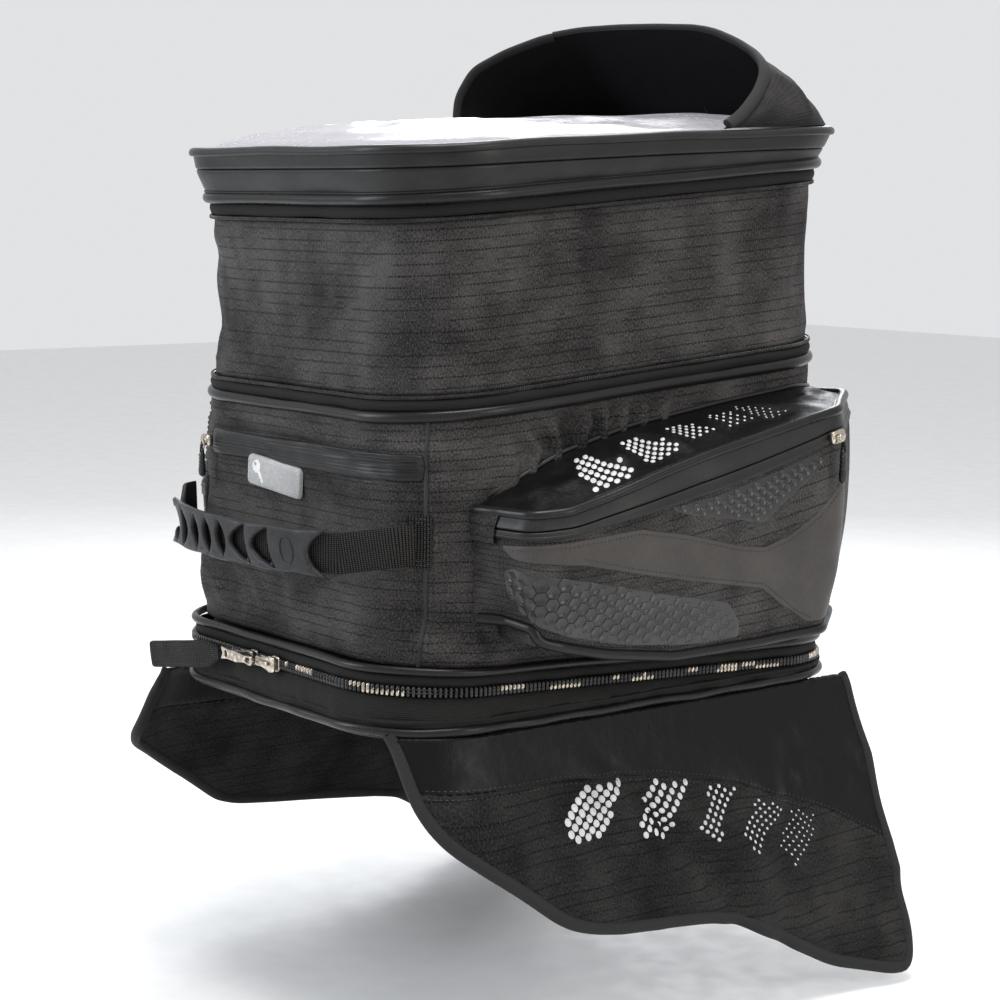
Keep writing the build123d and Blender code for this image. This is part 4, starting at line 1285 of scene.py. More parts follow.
def make_pocket(way):
    """One side pocket; way is 1 for the right and -1 for the left."""
    side = "right" if way > 0 else "left"
    name = f"pocket_{side}"

    def done(piece, body, slot, material, replaces=None):
        if way < 0:
            piece.points = [p * (-1, 1, 1) for p in piece.points]
        return piece.done(body, slot, material, replaces)

    # top panel with its printed dots, and the roll along its lip
    piece = Piece(f"{name}_roof")
    s = np.linspace(0, PLAN_S[-1], 150)
    share = np.linspace(0, 1, 18)
    columns, rows = np.meshgrid(s, share, indexing="ij")
    face, back = pocket_top(columns, rows), pocket_top(columns, rows, -2.4)
    v = np.concatenate([share * ROOF_WIDE, ROOF_WIDE + 2 + share * ROOF_WIDE, [2 * ROOF_WIDE + 4]])
    piece.grid(np.concatenate([face, back[:, ::-1]], 1), s, v, tube=True)
    done(piece, "bag", "satin_fabric", SATIN, f"{name}_top")
    piece = Piece(f"{name}_reflective_dots")
    for corners, pitch, large, small in ROOF_DOTS:
        dot_patch(piece, lambda a, b, n: pocket_top(s_at(a), b / ROOF_WIDE, n + 0.5), corners, pitch, large,
                  small,
                  0.9)
    done(piece, "bag", "satin_fabric", REFLECTIVE)
    piece = Piece(f"{name}_lip_roll")
    path, normals = line_on_pocket(LIP, 0.8, (3.0, PLAN_S[-1] - 1))
    sweep(piece, path, normals, circle(3.3, 14))
    path, normals = surface_path(pocket_top, np.linspace(2, PLAN_S[-1] - 2, 140), np.full(140, 0.015), 0.8)
    sweep(piece, path, normals, circle(1.7, 10))
    done(piece, "bag", "piping", ROLL)

    # the coated zip band, in two halves that part along the zip
    piece = Piece(f"{name}_band_upper")
    strip_between(piece, lambda y: ZIP(y) + 0.35, lambda y: LIP(y) - 1.0, 0.4, 6)
    done(piece, "bag", "coated_zip", COATED, f"{name}_zip_upper")
    piece = Piece(f"{name}_band_lower")
    strip_between(piece, BAND, lambda y: ZIP(y) - 0.35, 0.4, 5)
    path, normals = line_on_pocket(BAND, 1.4, (4.0, PLAN_S[-1] - 3), 1.6)
    sweep(piece, path, normals, circle(0.9, 8))
    done(piece, name, "coated_zip", COATED, f"{name}_zip_lower")
    piece = Piece(f"{name}_lip_fold")
    s = np.linspace(2, PLAN_S[-1] - 2, 150)
    share = np.linspace(0.91, 0.99, 5)
    lift = np.array([-0.6, 1.4, 1.8, 1.6, 0.8])
    columns, rows = np.meshgrid(s, share, indexing="ij")
    piece.grid(pocket_top(columns, rows, lift[None]), s, share * ROOF_WIDE)
    done(piece, "bag", "coated_zip", COATED)

    # the shell: outer face, underside and inner face in one padded piece
    piece = Piece(f"{name}_body")
    s = np.linspace(0, PLAN_S[-1], 170)
    y = np.interp(s, PLAN_S, PLAN[:, 1])
    t = np.linspace(0, 1, 34)
    z = FOOT(y)[:, None] + (ZIP(y) - 1.0 - FOOT(y))[:, None] * t
    columns = s[:, None] + 0 * z
    face = pocket_outer(columns, z)
    inner = pocket_outer(columns, np.clip(z, FOOT(y)[:, None] + 3, None), -3.0)
    under = []
    for part, drop in ((0.25, 2.0), (0.6, 2.6), (1.0, 1.5)):
        edge = face[:, 0].copy()
        edge[:, 0] += (wall_x(edge[:, 1]) - edge[:, 0]) * part
        edge[:, 2] -= drop
        under.append(edge[:, None])
    over = [u + (0, 0, 3.0) for u in under]
    points = np.concatenate([face[:, ::-1]] + under + over[::-1] + [inner], 1)
    run = arc_length(points[len(s) // 2])
    piece.grid(points, s, np.append(run, run[-1] + 3), tube=True)
    done(piece, name, "embossed_panel", RIPSTOP, f"{name}_shell")

    # bottom roll, rear tab and the seams
    piece = Piece(f"{name}_bottom_roll")
    path, normals = line_on_pocket(FOOT, 0.6, (6.0, PLAN_S[-1] - 1), 1.2)
    sweep(piece, path, normals, circle(3.6, 14))
    done(piece, name, "piping", ROLL)
    tab = Piece(f"{name}_rear_tab")
    strip_between(tab, lambda y: BAND(y) - 4, lambda y: LIP(y) + 2.5, 1.2, 6, 1.8, span=(1, 25), edge=1.2)
    done(tab, "bag", "ripstop_fabric", RIPSTOP)

    # the film swoosh: a point at the rear that forks round the front
    piece = Piece(f"{name}_swoosh")
    outline = rounded_path(SWOOSH_EDGE, [0.5] + [12] * (len(SWOOSH_EDGE) - 1), 3.0, True)
    slab(piece, outline, lambda a, b, n: flat_place(a, b, n + 0.2), 1.1, edge=1.2, step=5)
    done(piece, name, "coated_zip", SWOOSH)
    thread = Piece(f"{name}_stitching")
    for line in SWOOSH_SEAMS:
        sew(thread, flat_place, rounded_path(line, [12] * (len(line) - 2), 2.0), 1.2, 3.0, 2.1, 0.38)
    for line, up, start, end in ((BAND, -2.2, 26, PLAN_S[-1] - 8), (FOOT, 7.0, 10, PLAN_S[-1] - 8)):
        path, normals = line_on_pocket(line, 0.4, (start, end), up)
        stitches(thread, path, normals, 3.2, 2.2, 0.38)
    for start in (27.0, 30.0):
        sew(thread, pocket_outer, np.stack(alike(start, np.linspace(84, 124, 40)), 1), 0.3, 3.0, 2.1, 0.38)
    done(thread, name, "embossed_panel", THREAD)

    # embossed cells: large at the rear and fading forwards, and a finer field under the zip
    piece = Piece(f"{name}_embossed_cells")
    hexagon = np.stack([np.cos(np.arange(6) * math.pi / 3), np.sin(np.arange(6) * math.pi / 3)], 1)
    for corners, corner, pitch, ends, size_ends, depth_ends in CELL_FIELDS:
        field = rounded_path(corners, [corner] * len(corners), 3.0, True)
        spots = np.array([(-160 + column * pitch * CELL_SLOPE, 46 + (row + 0.5 * (column % 2)) * pitch)
                          for row in range(40) for column in range(60)])
        spots = spots[inside(spots, field)]
        spots = spots[edge_distance(spots, [field]) > pitch * 0.36]
        sizes = pitch * 0.56 * np.interp(spots[:, 0], ends, size_ends)
        depths = np.interp(spots[:, 0], ends, depth_ends)
        for spot, radius, depth in zip(spots, sizes, depths):
            cell = np.concatenate([hexagon * radius * share
                                   for share in (1.0, 0.9, 0.8, 0.66)] + [[(0, 0)]]) + spot
            heights = np.repeat(np.array([0.1, 1.0, 1.0, 0.4, 0.3]) * depth, [6, 6, 6, 6, 1])
            piece.faces(flat_place(cell[:, 0], cell[:, 1], heights), cone_faces(6, 4), cell)
        slab(piece, field, lambda a, b, n: flat_place(a, b, n + 0.05), 0.35, edge=0.8, step=5)
    done(piece, name, "embossed_panel", EMBOSSED)

    make_slider(name, f"{name}_zip_slider", f"{name}_zip_pull", f"{name}_slider", f"{name}_pull", way)


# ---------------------------------------------------------------- wings
WING_Z = -0.5           # height of the hinge line
WING_SPREAD = 0.35      # how far a wing stands out for each millimetre that it hangs
WING_TURN = CORNER * 1.12   # length of the turn round a rear corner, for each radian
# outline by (y, z), the radius at each corner, and how far back the bag's corner is
WING_PLACES = {
    "right": ([(-192, 8), (-186, -52), (-92, -127), (40, -137), (120, -184), (197, -203), (197, -130),
               (190, 8)],
              [2, 60, 90, 120, 90, 24, 60, 14], 203.0),
    "left": ([(-200, 8), (-242, -36), (-120, -118), (40, -137), (120, -184), (197, -203), (202, -130),
              (178, 8)], [2, 38, 80, 120, 90, 24, 60, 2], 232.0),
}
# height of the seam between the satin and the ripstop
WING_SEAM = through((-250, -22), (-172, -29), (-114, -31), (-66, -32), (-5, -37), (66, -52), (139, -80),
                    (185, -104), (215, -120))


def shrink(outline, amount):
    """A closed outline moved inwards."""
    run = unit(np.roll(outline, -1, 0) - np.roll(outline, 1, 0))
    x, y = outline.T
    turn = np.sign((x * np.roll(y, -1) - np.roll(x, -1) * y).sum())
    return outline + turn * amount * np.stack([-run[:, 1], run[:, 0]], 1)


def make_wing(side):
    """One magnetic wing: cloth, binding, stitching, printed dots and the magnets inside."""
    corners, radii, rear = WING_PLACES[side]
    way = 1 if side == "right" else -1
    centre_x, centre_y = BODY[0] + 1.5 - CORNER, CORNER - rear

    def flat(points):
        """(y, z) to the wing's own lengths, which run on round the rear corner."""
        y, z = np.asarray(points, float).T
        radius = CORNER + WING_SPREAD * (WING_Z - z)
        beyond = np.clip((centre_y - y) / radius, 0, 1)
        return np.stack([np.where(y < centre_y, centre_y - WING_TURN * np.arcsin(beyond), y), z], 1)

    def place(a, b, n):
        a, b, n = alike(a, b, n)
        hang = np.clip(WING_Z - b, 0, None)
        loose = smooth(hang / 60)
        fold = 3.0 * loose * noise(a / 75, b / 60, way, 71)
        fold = fold + 3.6 * loose * creases(a / 62 + b / 70, b / 90, way, 74)
        fold = fold - 3.4 * loose * hump(a + 0.75 * b, -62, 12) - 2.6 * loose * hump(a - 0.35 * b, 128, 16)
        n = n + fold + 1.6 * loose * np.sin(a / 46 + way)
        turn = np.clip((centre_y - a) / WING_TURN, 0, None)
        radius = CORNER + WING_SPREAD * hang + n
        x = np.where(a < centre_y, centre_x + radius * np.cos(turn), centre_x + radius)
        y = np.where(a < centre_y, centre_y - radius * np.sin(turn), a)
        return np.stack([x * way, y, b - WING_SPREAD * n], -1)

    def sewn_on(piece, materials, slot, replaces=None):
        obj = piece.done(None, slot, materials, replaces)
        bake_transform(obj)
        return obj

    outline = rounded_path(corners, radii, 4.0, True)
    border = shrink(outline, 4.0)
    above = border[:, 1] > WING_SEAM(border[:, 0])
    change = np.flatnonzero(above & ~np.roll(above, 1))
    border, above = np.roll(border, -change[0], 0), np.roll(above, -change[0])
    high_run, low_run = border[above], border[~above]
    ends = high_run[0, 0], high_run[-1, 0]
    between = np.linspace(ends[1], ends[0], 70)[1:-1]
    seam = np.stack([between, WING_SEAM(between)], 1)
    upper = np.concatenate([high_run, seam - (0, 1.2)])
    lower = np.concatenate([low_run, seam[::-1] + (0, 1.2)])
    cloth = Piece(f"wing_{side}_cloth")
    slab(cloth, flat(upper), place, 5.4, edge=2.6, step=6, both=True, kind=0)
    slab(cloth, flat(lower), place, 5.2, edge=2.6, step=6, both=True, kind=1)
    sewn_on(cloth, [SATIN, RIPSTOP_LOW], "satin_fabric", f"wing_{side}_panel")

    binding = Piece(f"wing_{side}_edge_binding")
    top = outline[:, 1] > 7.0
    outline = np.roll(outline, -np.flatnonzero(top & ~np.roll(top, -1))[0], 0)
    hanging = outline[:, 1] <= 7.0
    edge = flat(resample(shrink(outline, 3.6)[hanging], 3.0))
    path, normals = surface_path(place, edge[:, 0], edge[:, 1])
    sweep(binding, path, normals, circle(1.0, 14) * (3.5, 4.4))
    sewn_on(binding, BINDING, "binding", f"wing_{side}_binding")

    thread = Piece(f"wing_{side}_stitching")
    sew(thread, place, flat(resample(shrink(outline, 6.4)[hanging], 1.6)), 3.1, 3.4, 2.3, 0.38)
    along = np.linspace(min(ends), max(ends), 260)[4:-4]
    for up in (-2.4, 2.4):
        sew(thread, place, flat(np.stack([along, WING_SEAM(along) + up], 1)), 2.7, 3.8, 2.6, 0.42)
    sewn_on(thread, THREAD, "satin_fabric")

    printed = Piece(f"wing_{side}_reflective_dots")
    for corners, pitch, large, small in WING_DOTS:
        dot_patch(printed, lambda a, b, n: place(a, b, n + 2.75), corners, pitch, large, small, 1.14, (-2, 8),
                  flat)
    printed.done(f"wing_{side}", "satin_fabric", REFLECTIVE)

    magnets = Piece(f"wing_{side}_sewn_magnets")
    turn = np.linspace(0, 2 * math.pi, 40, endpoint=False)
    for y, z in ((-70, -80), (30, -95), (130, -125)):
        disc = flat(np.stack([y + 14 * np.cos(turn), z + 14 * np.sin(turn)], 1))
        slab(magnets, disc, place, 2.4, edge=0.8, step=5, both=True)
    magnets.done(f"wing_{side}", "magnet", METAL_DARK, f"wing_{side}_magnets")


# ---------------------------------------------------------------- sliders and pulls
def lump(piece, centre, half, turn=((1, 0, 0), (0, 1, 0), (0, 0, 1)), power=0.4, count=18):
    """A block with soft corners. turn holds its three axes as rows."""
    def bend(v):
        return np.sign(v) * np.abs(v) ** power

    across = np.linspace(-math.pi / 2, math.pi / 2, count)
    round_it = np.linspace(0, 2 * math.pi, 2 * count, endpoint=False)
    a, b = np.meshgrid(across, round_it, indexing="ij")
    shape = np.stack([bend(np.cos(a)) * bend(np.cos(b)), bend(np.cos(a)) * bend(np.sin(b)), bend(np.sin(a))],
                     -1)
    points = np.asarray(centre, float) + (shape * half) @ np.asarray(turn, float)
    piece.grid(points, across * 4, np.append(round_it, 2 * math.pi) * 3, tube=True)


def facing_back(x, y, z):
    """Places on an upright plane that faces the rear."""
    return lambda a, b, n: np.stack([x + a, np.full_like(np.asarray(a, float), y) - n, z + b], -1)


def hanging_pull(name, node, body):
    """A loop of cord with a moulded sleeve on it."""
    top, bottom = high(node), low(node)
    x, y, _ = middle_of(node)
    cord = Piece(f"{name}_cord")
    t = np.linspace(0, 1, 24)
    drop = top[2] - 7.0
    loop_z = drop + (top[2] - 0.6 - drop) * np.sin(math.pi * t)
    path = np.stack([x + 1.5 * np.cos(math.pi * t), np.full(24, y), loop_z], 1)
    sweep(cord, path, np.tile([0, 1.0, 0], (24, 1)), circle(0.85, 10))
    cord.done(body, "pull_rubber", WEBBING)
    sleeve = Piece(f"{name}_sleeve")
    heights = np.array([0, 0.6, 2.0, 5.0, 10.0, 15.0, 19.0, 20.6, 21.2]) / 21.2
    width = np.array([0.4, 2.0, 2.7, 2.9, 2.4, 2.2, 2.3, 1.7, 0.5])
    turn = np.linspace(0, 2 * math.pi, 20, endpoint=False)
    z = bottom[2] + heights * (top[2] - 5.5 - bottom[2])
    points = np.stack([x + width[:, None] * np.cos(turn), y + width[:, None] * 0.85 * np.sin(turn),
                       z[:, None] + 0 * turn], -1)
    sleeve.grid(points, z, np.append(turn, 2 * math.pi) * 2.4, tube=True)
    for height in (0.35, 0.45, 0.55, 0.65):
        z_ring = bottom[2] + height * (top[2] - bottom[2])
        path = np.stack([x + 2.45 * np.cos(turn), y + 2.1 * np.sin(turn), np.full(20, z_ring)], 1)
        sweep(sleeve, path, path - (x, y, z_ring), circle(0.35, 6), closed=True)
    sleeve.done(body, "pull_rubber", RUBBER, node)


def make_slider(name, node, pull_node, body, pull_body, way):
    """A small slider on a side pocket's zip, with its cord pull."""
    centre = middle_of(node)
    climb = 0.236
    along = np.array([0, math.cos(climb), math.sin(climb)])
    turn = [(1, 0, 0), along, np.cross((1, 0, 0), along)]
    piece = Piece(f"{name}_zip_runner")
    lump(piece, centre, (2.3, 6.4, 4.4), turn, 0.5)
    lump(piece, centre + (way * 2.6, 1.0, 0.2), (1.3, 4.2, 1.4), turn, 0.6)
    lump(piece, centre + (way * 4.2, -1.0, -0.3), (0.7, 1.6, 2.4), turn, 0.7)
    piece.done(body, "zip_metal", METAL, node)
    hanging_pull(name, pull_node, pull_body)


def make_sliders():
    """All the sliders and pulls but the side pockets'."""
    # key pocket: a wide bright body, a bridge over it and the ring that the pull hangs from
    x, y, z = middle_of("key_zip_slider")
    face = high("key_zip_slider")[1]
    piece = Piece("key_zip_runner")
    lump(piece, (x, face - 2.2, z), (6.0, 2.4, 4.2), power=0.5)
    lump(piece, (x, face - 4.6, z + 0.2), (4.2, 0.9, 1.5), power=0.6)
    t = np.linspace(0, 2 * math.pi, 28)
    path = np.stack([x + 2.1 * np.cos(t), np.full(28, face - 6.0), z - 3.2 + 3.6 * np.sin(t)], 1)
    sweep(piece, path[:-1], np.tile([0, -1.0, 0], (27, 1)), circle(0.65, 8), closed=True)
    piece.done("key_slider", "zip_metal", METAL, "key_zip_slider")
    hanging_pull("key", "key_zip_pull", "key_pull")

    # base zip: the nearer slider with its flat puller, and a dark one beyond it
    for name, node, body, material, slot_name in (
            ("base_zip_runner", "base_zip_slider", "base_slider", METAL, "zip_metal"),
            ("base_zip_second_runner", "base_zip_slider_second", "base_slider_second", METAL_DARK,
             "zip_metal_dark")):
        centre = middle_of(node)
        half = (high(node) - low(node)) / 2
        centre[1] = high(node)[1] - 3.0
        piece = Piece(name)
        # a shield shape: wide at the shoulders, narrow at the tail
        side = np.array([(1.0, 0.62), (0.86, 0.86), (0.5, 0.95), (0.1, 0.72), (-0.35, 0.55), (-0.8, 0.6),
                         (-1.0, 0.45)])
        shape = np.concatenate([side, side[::-1] * (1, -1)]) * (half[0], half[2])
        shape = rounded_path(shape, [1.6] * len(shape), 0.8, True)
        for deep, thick in ((2.0, 2.6), (-2.2, 2.2)):
            slab(piece, shape, facing_back(centre[0], centre[1] + deep, centre[2]), thick, step=1.6,
                 both=True)
        lump(piece, centre + (half[0] * 0.55, 0, 0), (1.6, 2.4, 3.0), power=0.6)
        lump(piece, centre + (0, -4.4, 0.2), (half[0] * 0.52, 1.1, 1.5), power=0.55)
        piece.done(body, slot_name, material, node)

    centre, size = middle_of("base_zip_puller"), high("base_zip_puller") - low("base_zip_puller")
    piece = Piece("base_zip_pull_tag")
    left, right = -size[0] / 2, size[0] / 2
    shape = [(left, 4.6), (left + 2.4, 0), (left, -4.6), (left + 9, -3.4), (left + 19, -3.9),
             (right - 12, -2.6),
             (right - 2, -3.4), (right, 0), (right - 2, 3.4), (right - 12, 2.6), (left + 19, 3.9),
             (left + 9, 3.4)]
    shape = rounded_path(shape, [0.8, 1, 0.8, 4, 3, 3, 2, 2, 2, 3, 3, 4], 0.9, True)
    slot_hole = rounded_box(right - 9.5, right - 3.5, -1.5, 1.5, 1.4, 0.8)
    strap_hole = rounded_box(left + 5, left + 8.4, -2.0, 2.0, 1.0, 0.8)
    slab(piece, shape, facing_back(*centre), 2.1, holes=[slot_hole, strap_hole], edge=0.7, step=1.8,
         both=True)
    piece.done("base_pull", "zip_metal", METAL, "base_zip_puller")

    # fabric tab: folded webbing that droops away to the left
    middle = middle_of("base_pull_tab")
    droop = math.atan(0.17)
    along = np.array([math.cos(droop), 0, math.sin(droop)])
    up = np.array([-along[2], 0, along[0]])

    def tab_place(a, b, n):
        a, b, n = alike(a, b, n)
        bend = 1.6 * np.sin(a / 26) * smooth((50 - a) / 40) + 0.5 * noise(a / 14, b / 9, 0, 91)
        out = np.array([0, -1.0, 0]) * (n + bend)[..., None]
        return middle + a[..., None] * along + b[..., None] * up + out
    piece = Piece("base_fabric_pull")
    shape = [(-50, -9.5), (34, -9.5), (44, -6.0), (50, -3.0), (50, 3.0), (44, 6.0), (34, 9.5), (-50, 9.5)]
    shape = rounded_path(shape, [3, 6, 4, 1, 1, 4, 6, 3], 2.0, True)
    slab(piece, shape, tab_place, 3.0, edge=1.4, step=3, both=True)
    piece.done("base_pull", "satin_fabric", WEBBING, "base_pull_tab")
    thread = Piece("base_pull_stitching")
    inner = [(-46, -6.8), (33, -6.8), (42, -3.4), (42, 3.4), (33, 6.8), (-46, 6.8)]
    sew(thread, tab_place, looped(rounded_path(inner, [2] * 6, 1.5, True)), 1.4, 3.0, 2.0, 0.38)
    thread.done("base_pull", "satin_fabric", THREAD)

    # the two long zips' sliders, parked on the left side
    x, z = low("expander_zip_slider")[0], high("expander_zip_slider")[2] - 5
    y = middle_of("expander_zip_slider")[1]
    tilt = math.atan(LOW_ZIP.slope)
    turn = [(1, 0, 0), (0, math.cos(tilt), math.sin(tilt)), (0, -math.sin(tilt), math.cos(tilt))]
    piece = Piece("expander_zip_runner")
    lump(piece, (x + 5.2, y, z), (2.6, 7.8, 4.8), turn, 0.45)
    lump(piece, (x + 2.2, y, z), (1.2, 4.6, 1.8), turn, 0.6)
    lump(piece, (x + 1.4, y, z - 11), (0.9, 3.4, 12.4), turn, 0.5)
    piece.done("expander_slider", "zip_metal_dark", METAL_DARK, "expander_zip_slider")
    x, y, z = middle_of("main_zip_slider")
    piece = Piece("main_zip_runner")
    lift = rim_lift(y, -1.0)
    lump(piece, (x, y, z + lift), (2.9, 8.6, 4.8), turn, 0.45)
    lump(piece, (x - 2.6, y, z + lift - 2), (1.2, 4.6, 3.0), turn, 0.6)
    piece.done("main_slider", "zip_metal_dark", METAL_DARK, "main_zip_slider")
    x, y, z = middle_of("main_zip_pull")
    piece = Piece("main_pull_tag")
    shape = rounded_box(-4.2, 4.2, -15.5, 20.0, 3.0, 1.5)
    slab(piece, shape, lambda a, b, n: np.stack(
        [np.full_like(np.asarray(a, float), x) - n, y + a, z + b], -1), 2.4,
        holes=[rounded_box(-1.8, 1.8, 12.5, 17.0, 1.2, 1)], edge=1.0, step=2.4, both=True)
    piece.done("main_pull", "pull_rubber", RUBBER, "main_zip_pull")


# ---------------------------------------------------------------- lid
def band_points(q, k, offset=0.0):
    """The lid's flaring band, from its foot (k = 0) to the rim (k = 1)."""
    x, y, out_x, out_y = round_the_bag(q, *BAND_LOW)
    top_x, top_y, _, _ = round_the_bag(q, *BAND_TOP)
    bottom_z = HIGH_ZIP.z(y) + 15.5
    top_z = RIM.z(top_y) + rim_lift(top_y, out_x)
    x, y = x + (top_x - x) * k, y + (top_y - y) * k
    swell = (1.4 * np.sin(math.pi * k) + 0.7 * noise(x / 60, y / 60, k * 2, 61)) + offset
    return np.stack([x + out_x * swell, y + out_y * swell, bottom_z + (top_z - bottom_z) * k], -1)


def split_at(q):
    """Share of the band's height where the lid parts from it."""
    x, y, out_x, _ = round_the_bag(q, *BAND_TOP)
    return 1 - 12.0 / (RIM.z(y) + rim_lift(y, out_x) - HIGH_ZIP.z(y) - 15.5)


def make_band(name, start, end, body, node, lines):
    """One half of the band. start and end are shares of its height for each place."""
    q, s, total = side_places(BAND_TOP, 3.0)
    t = np.linspace(0, 1, 13)
    low_k, high_k = start(q)[:, None], end(q)[:, None]
    k = low_k + (high_k - low_k) * t
    columns = q[:, None] + 0 * k
    edge = np.minimum(t, 1 - t) * 24.0
    tuck = -0.7 * (1 - np.sqrt(np.clip(edge / 1.2, 0, 1)))
    outer = band_points(columns, k, tuck)
    inner = band_points(columns, k, -2.6)
    piece = Piece(name)
    v = np.concatenate([t * 24, 26 + t * 24, [52]])
    piece.grid(np.concatenate([outer, inner[:, ::-1]], 1), np.append(s, total), v, closed=True, tube=True)
    for share, size, out in lines:
        k = start(q) + (end(q) - start(q)) * share
        path = band_points(q, k, out)
        outward = band_points(q, k, out + 1) - path
        sweep(piece, path, outward, circle(size, 8), closed=True)
    piece.done(body, "coated_zip", COATED, node)


def make_lid():
    """The zip band in two halves, the rim and the clear window."""
    make_band("lid_band_lower", np.zeros_like, lambda q: split_at(q) - 0.006, "upper", "main_zip_lower",
              [(0.10, 0.7, 0.5)])
    make_band("lid_band_upper", lambda q: split_at(q) + 0.006, np.ones_like, "lid", "main_zip_upper", [])

    # the rim: a folded lip that stands a little proud of the band
    piece = Piece("lid_lip")
    q, s, total = side_places(BAND_TOP, 3.0)
    x, y, out_x, out_y = (a[:, None] for a in round_the_bag(q, *BAND_TOP))
    profile = np.array([(-6.5, -3.0), (-2.0, -3.4), (0.8, -3.0), (1.8, -2.0), (2.0, -0.6), (1.7, 0.8),
                        (0.8, 1.9),
                        (-0.8, 2.6), (-2.6, 2.8), (-4.6, 2.4), (-6.4, 1.2), (-7.2, -0.6)])
    rise = wave(s, 0.6, 170.0, 0.4)[:, None]
    out, up = profile[:, 0][None], profile[:, 1][None] + rise
    lift = rim_lift(y, out_x)
    points = np.stack(np.broadcast_arrays(x + out_x * out, y + out_y * out, RIM.z(y) + lift + up), 2)
    piece.grid(points, np.append(s, total), arc_length(looped(profile)), closed=True, tube=True)
    piece.done("lid", "coated_zip", COATED, "lid_rim")

    # the clear window, pressed up into a low dome
    dome_heights = through((0, -4.0), (10.5, 4), (37, 10), (75, 14), (150, 15.5), blur=9)
    half = np.array([148.0, 187.0])

    def place(a, b, n):
        a, b, n = alike(a, b, n)
        corner = 58.0
        past = np.maximum(np.abs(np.stack([a, b], -1)) - (half - corner), 0)
        inner = np.minimum(np.maximum(np.abs(a) - (half[0] - corner), np.abs(b) - (half[1] - corner)), 0)
        depth = np.clip(corner - np.linalg.norm(past, axis=-1) - inner, 0, None)
        rise = dome_heights(depth)
        soft = smooth(depth / 30)
        dent = 1.1 * soft * noise(a / 55, b / 55, 0, 81)
        dent = dent + 1.7 * hump(b, -95, 75) * soft * creases(a / 34, b / 48, 0, 83)
        return np.stack([a, b, RIM.z(b) + rise + dent + n], -1)
    outline = rounded_path([(-148, -187), (148, -187), (148, 187), (-148, 187)], [58] * 4, 4.0, True)
    piece = Piece("lid_clear_window")
    slab(piece, outline, place, 0.8, edge=10.0, step=5.0, both=True)
    obj = piece.done("lid", "clear_film", FILM, "lid_window")


# ---------------------------------------------------------------- visor
FOLD_SLOPE = 0.8        # the fold plane rises this much for each millimetre rearwards
FOLD_Y, FOLD_Z = 191.0, 397.8
VISOR_MIDDLE = np.array([0, 60.0, 380.0])
VISOR_THICK = 2.4
# the hood's free edge from its middle to each foot
RIGHT_EDGE = [(0, 131, 463.5), (40, 132, 461), (62, 129, 457.5), (85, 128, 450), (108, 124, 441),
              (124, 117, 433),
              (136, 108, 424), (144, 94, 411), (149, 77, 398), (150.5, 62, 389)]
LEFT_EDGE = [(0, 131, 463.5), (-40, 130, 465), (-78, 123, 464.5), (-104, 108, 460), (-126, 89, 449.5),
             (-142, 70, 436), (-150, 61, 415), (-151, 60, 391)]


def visor_curves(u):
    """The seam on the rim and the hood's free edge, at places u from -1 on the left to 1 on the right."""
    a, way = np.abs(u), np.sign(u)
    outline = (152.0, FOLD_Y, 64.0)
    q, s, total = side_places(outline, 1.0)
    front = s <= total / 2
    x, y, _, _ = round_the_bag(q[front], *outline)
    run = s[front]
    keep = y > VISOR_MIDDLE[1]
    run, x, y = run[keep], x[keep], y[keep]
    share = run / run[-1]
    base_x, base_y = np.interp(a, share, -x), np.interp(a, share, y)
    base = np.stack([base_x * way, base_y, RIM.z(base_y) + 4.2], -1)
    halves = []
    for edge in (RIGHT_EDGE, LEFT_EDGE):
        line = evened(resample(np.array(edge, float), 2.0), 13)
        share = arc_length(line)
        halves.append(np.stack([np.interp(a, share / share[-1], line[:, k]) for k in range(3)], -1))
    return base, np.where((way >= 0)[..., None], *halves)


def visor_point(u, w):
    """Points of the hood between the rim (w = 0) and its free edge (w = 1)."""
    base, free = visor_curves(u)
    w = w[..., None]
    point = base + (free - base) * w
    out = unit(point - VISOR_MIDDLE)
    belly = 5.0 * np.sin(math.pi * w) * smooth((1 - np.abs(u)) / 0.2)[..., None]
    corner = hump(np.abs(u), 0.62, 0.3)[..., None]
    crease = 1.6 * creases(point[..., 0] / 40, point[..., 1] / 30, point[..., 2] / 34, 87)[..., None]
    return point + out * (belly + np.sin(math.pi * w) * crease * (0.35 + corner))


def fold_share(u):
    """Where the fold between the stiff panel and a soft corner crosses, as a share from rim to free edge."""
    w = np.linspace(0, 1, 120)
    columns, rows = np.meshgrid(u, w, indexing="ij")
    base, free = visor_curves(columns)
    point = base + (free - base) * rows[..., None]
    over = point[..., 2] - FOLD_Z - FOLD_SLOPE * (FOLD_Y - point[..., 1])
    first = np.argmax(over > 0, axis=1)
    return np.where((over > 0).any(1), w[first], 1.0)


def visor_cloth(piece, u, start, end, rows):
    """A double skin between two shares of the hood's height: kind 0 outside, 1 inside."""
    t = np.linspace(0, 1, rows)
    columns = u[:, None] + 0 * t
    w = start[:, None] + (end - start)[:, None] * t
    outer = visor_point(columns, w)
    step = 0.002
    across = visor_point(np.clip(columns + step, -1, 1), w) - visor_point(np.clip(columns - step, -1, 1), w)
    up = visor_point(columns, w + step) - visor_point(columns, w - step)
    normal = unit(np.cross(across, up))
    normal *= np.sign((normal * (outer - VISOR_MIDDLE)).sum(-1, keepdims=True))
    inner = outer - normal * VISOR_THICK
    s = arc_length(outer[:, rows // 2])
    height = np.linalg.norm(outer[len(u) // 2, -1] - outer[len(u) // 2, 0])
    piece.grid(outer, s, t * height)
    piece.grid(inner, s, t * height, kind=1)
    for column in (0, -1):
        piece.grid(np.stack([outer[:, column], inner[:, column]], 1), s, np.array([0, VISOR_THICK]))
    for row in (0, -1):
        piece.grid(np.stack([outer[row], inner[row]], 1), t * height, np.array([0, VISOR_THICK]))


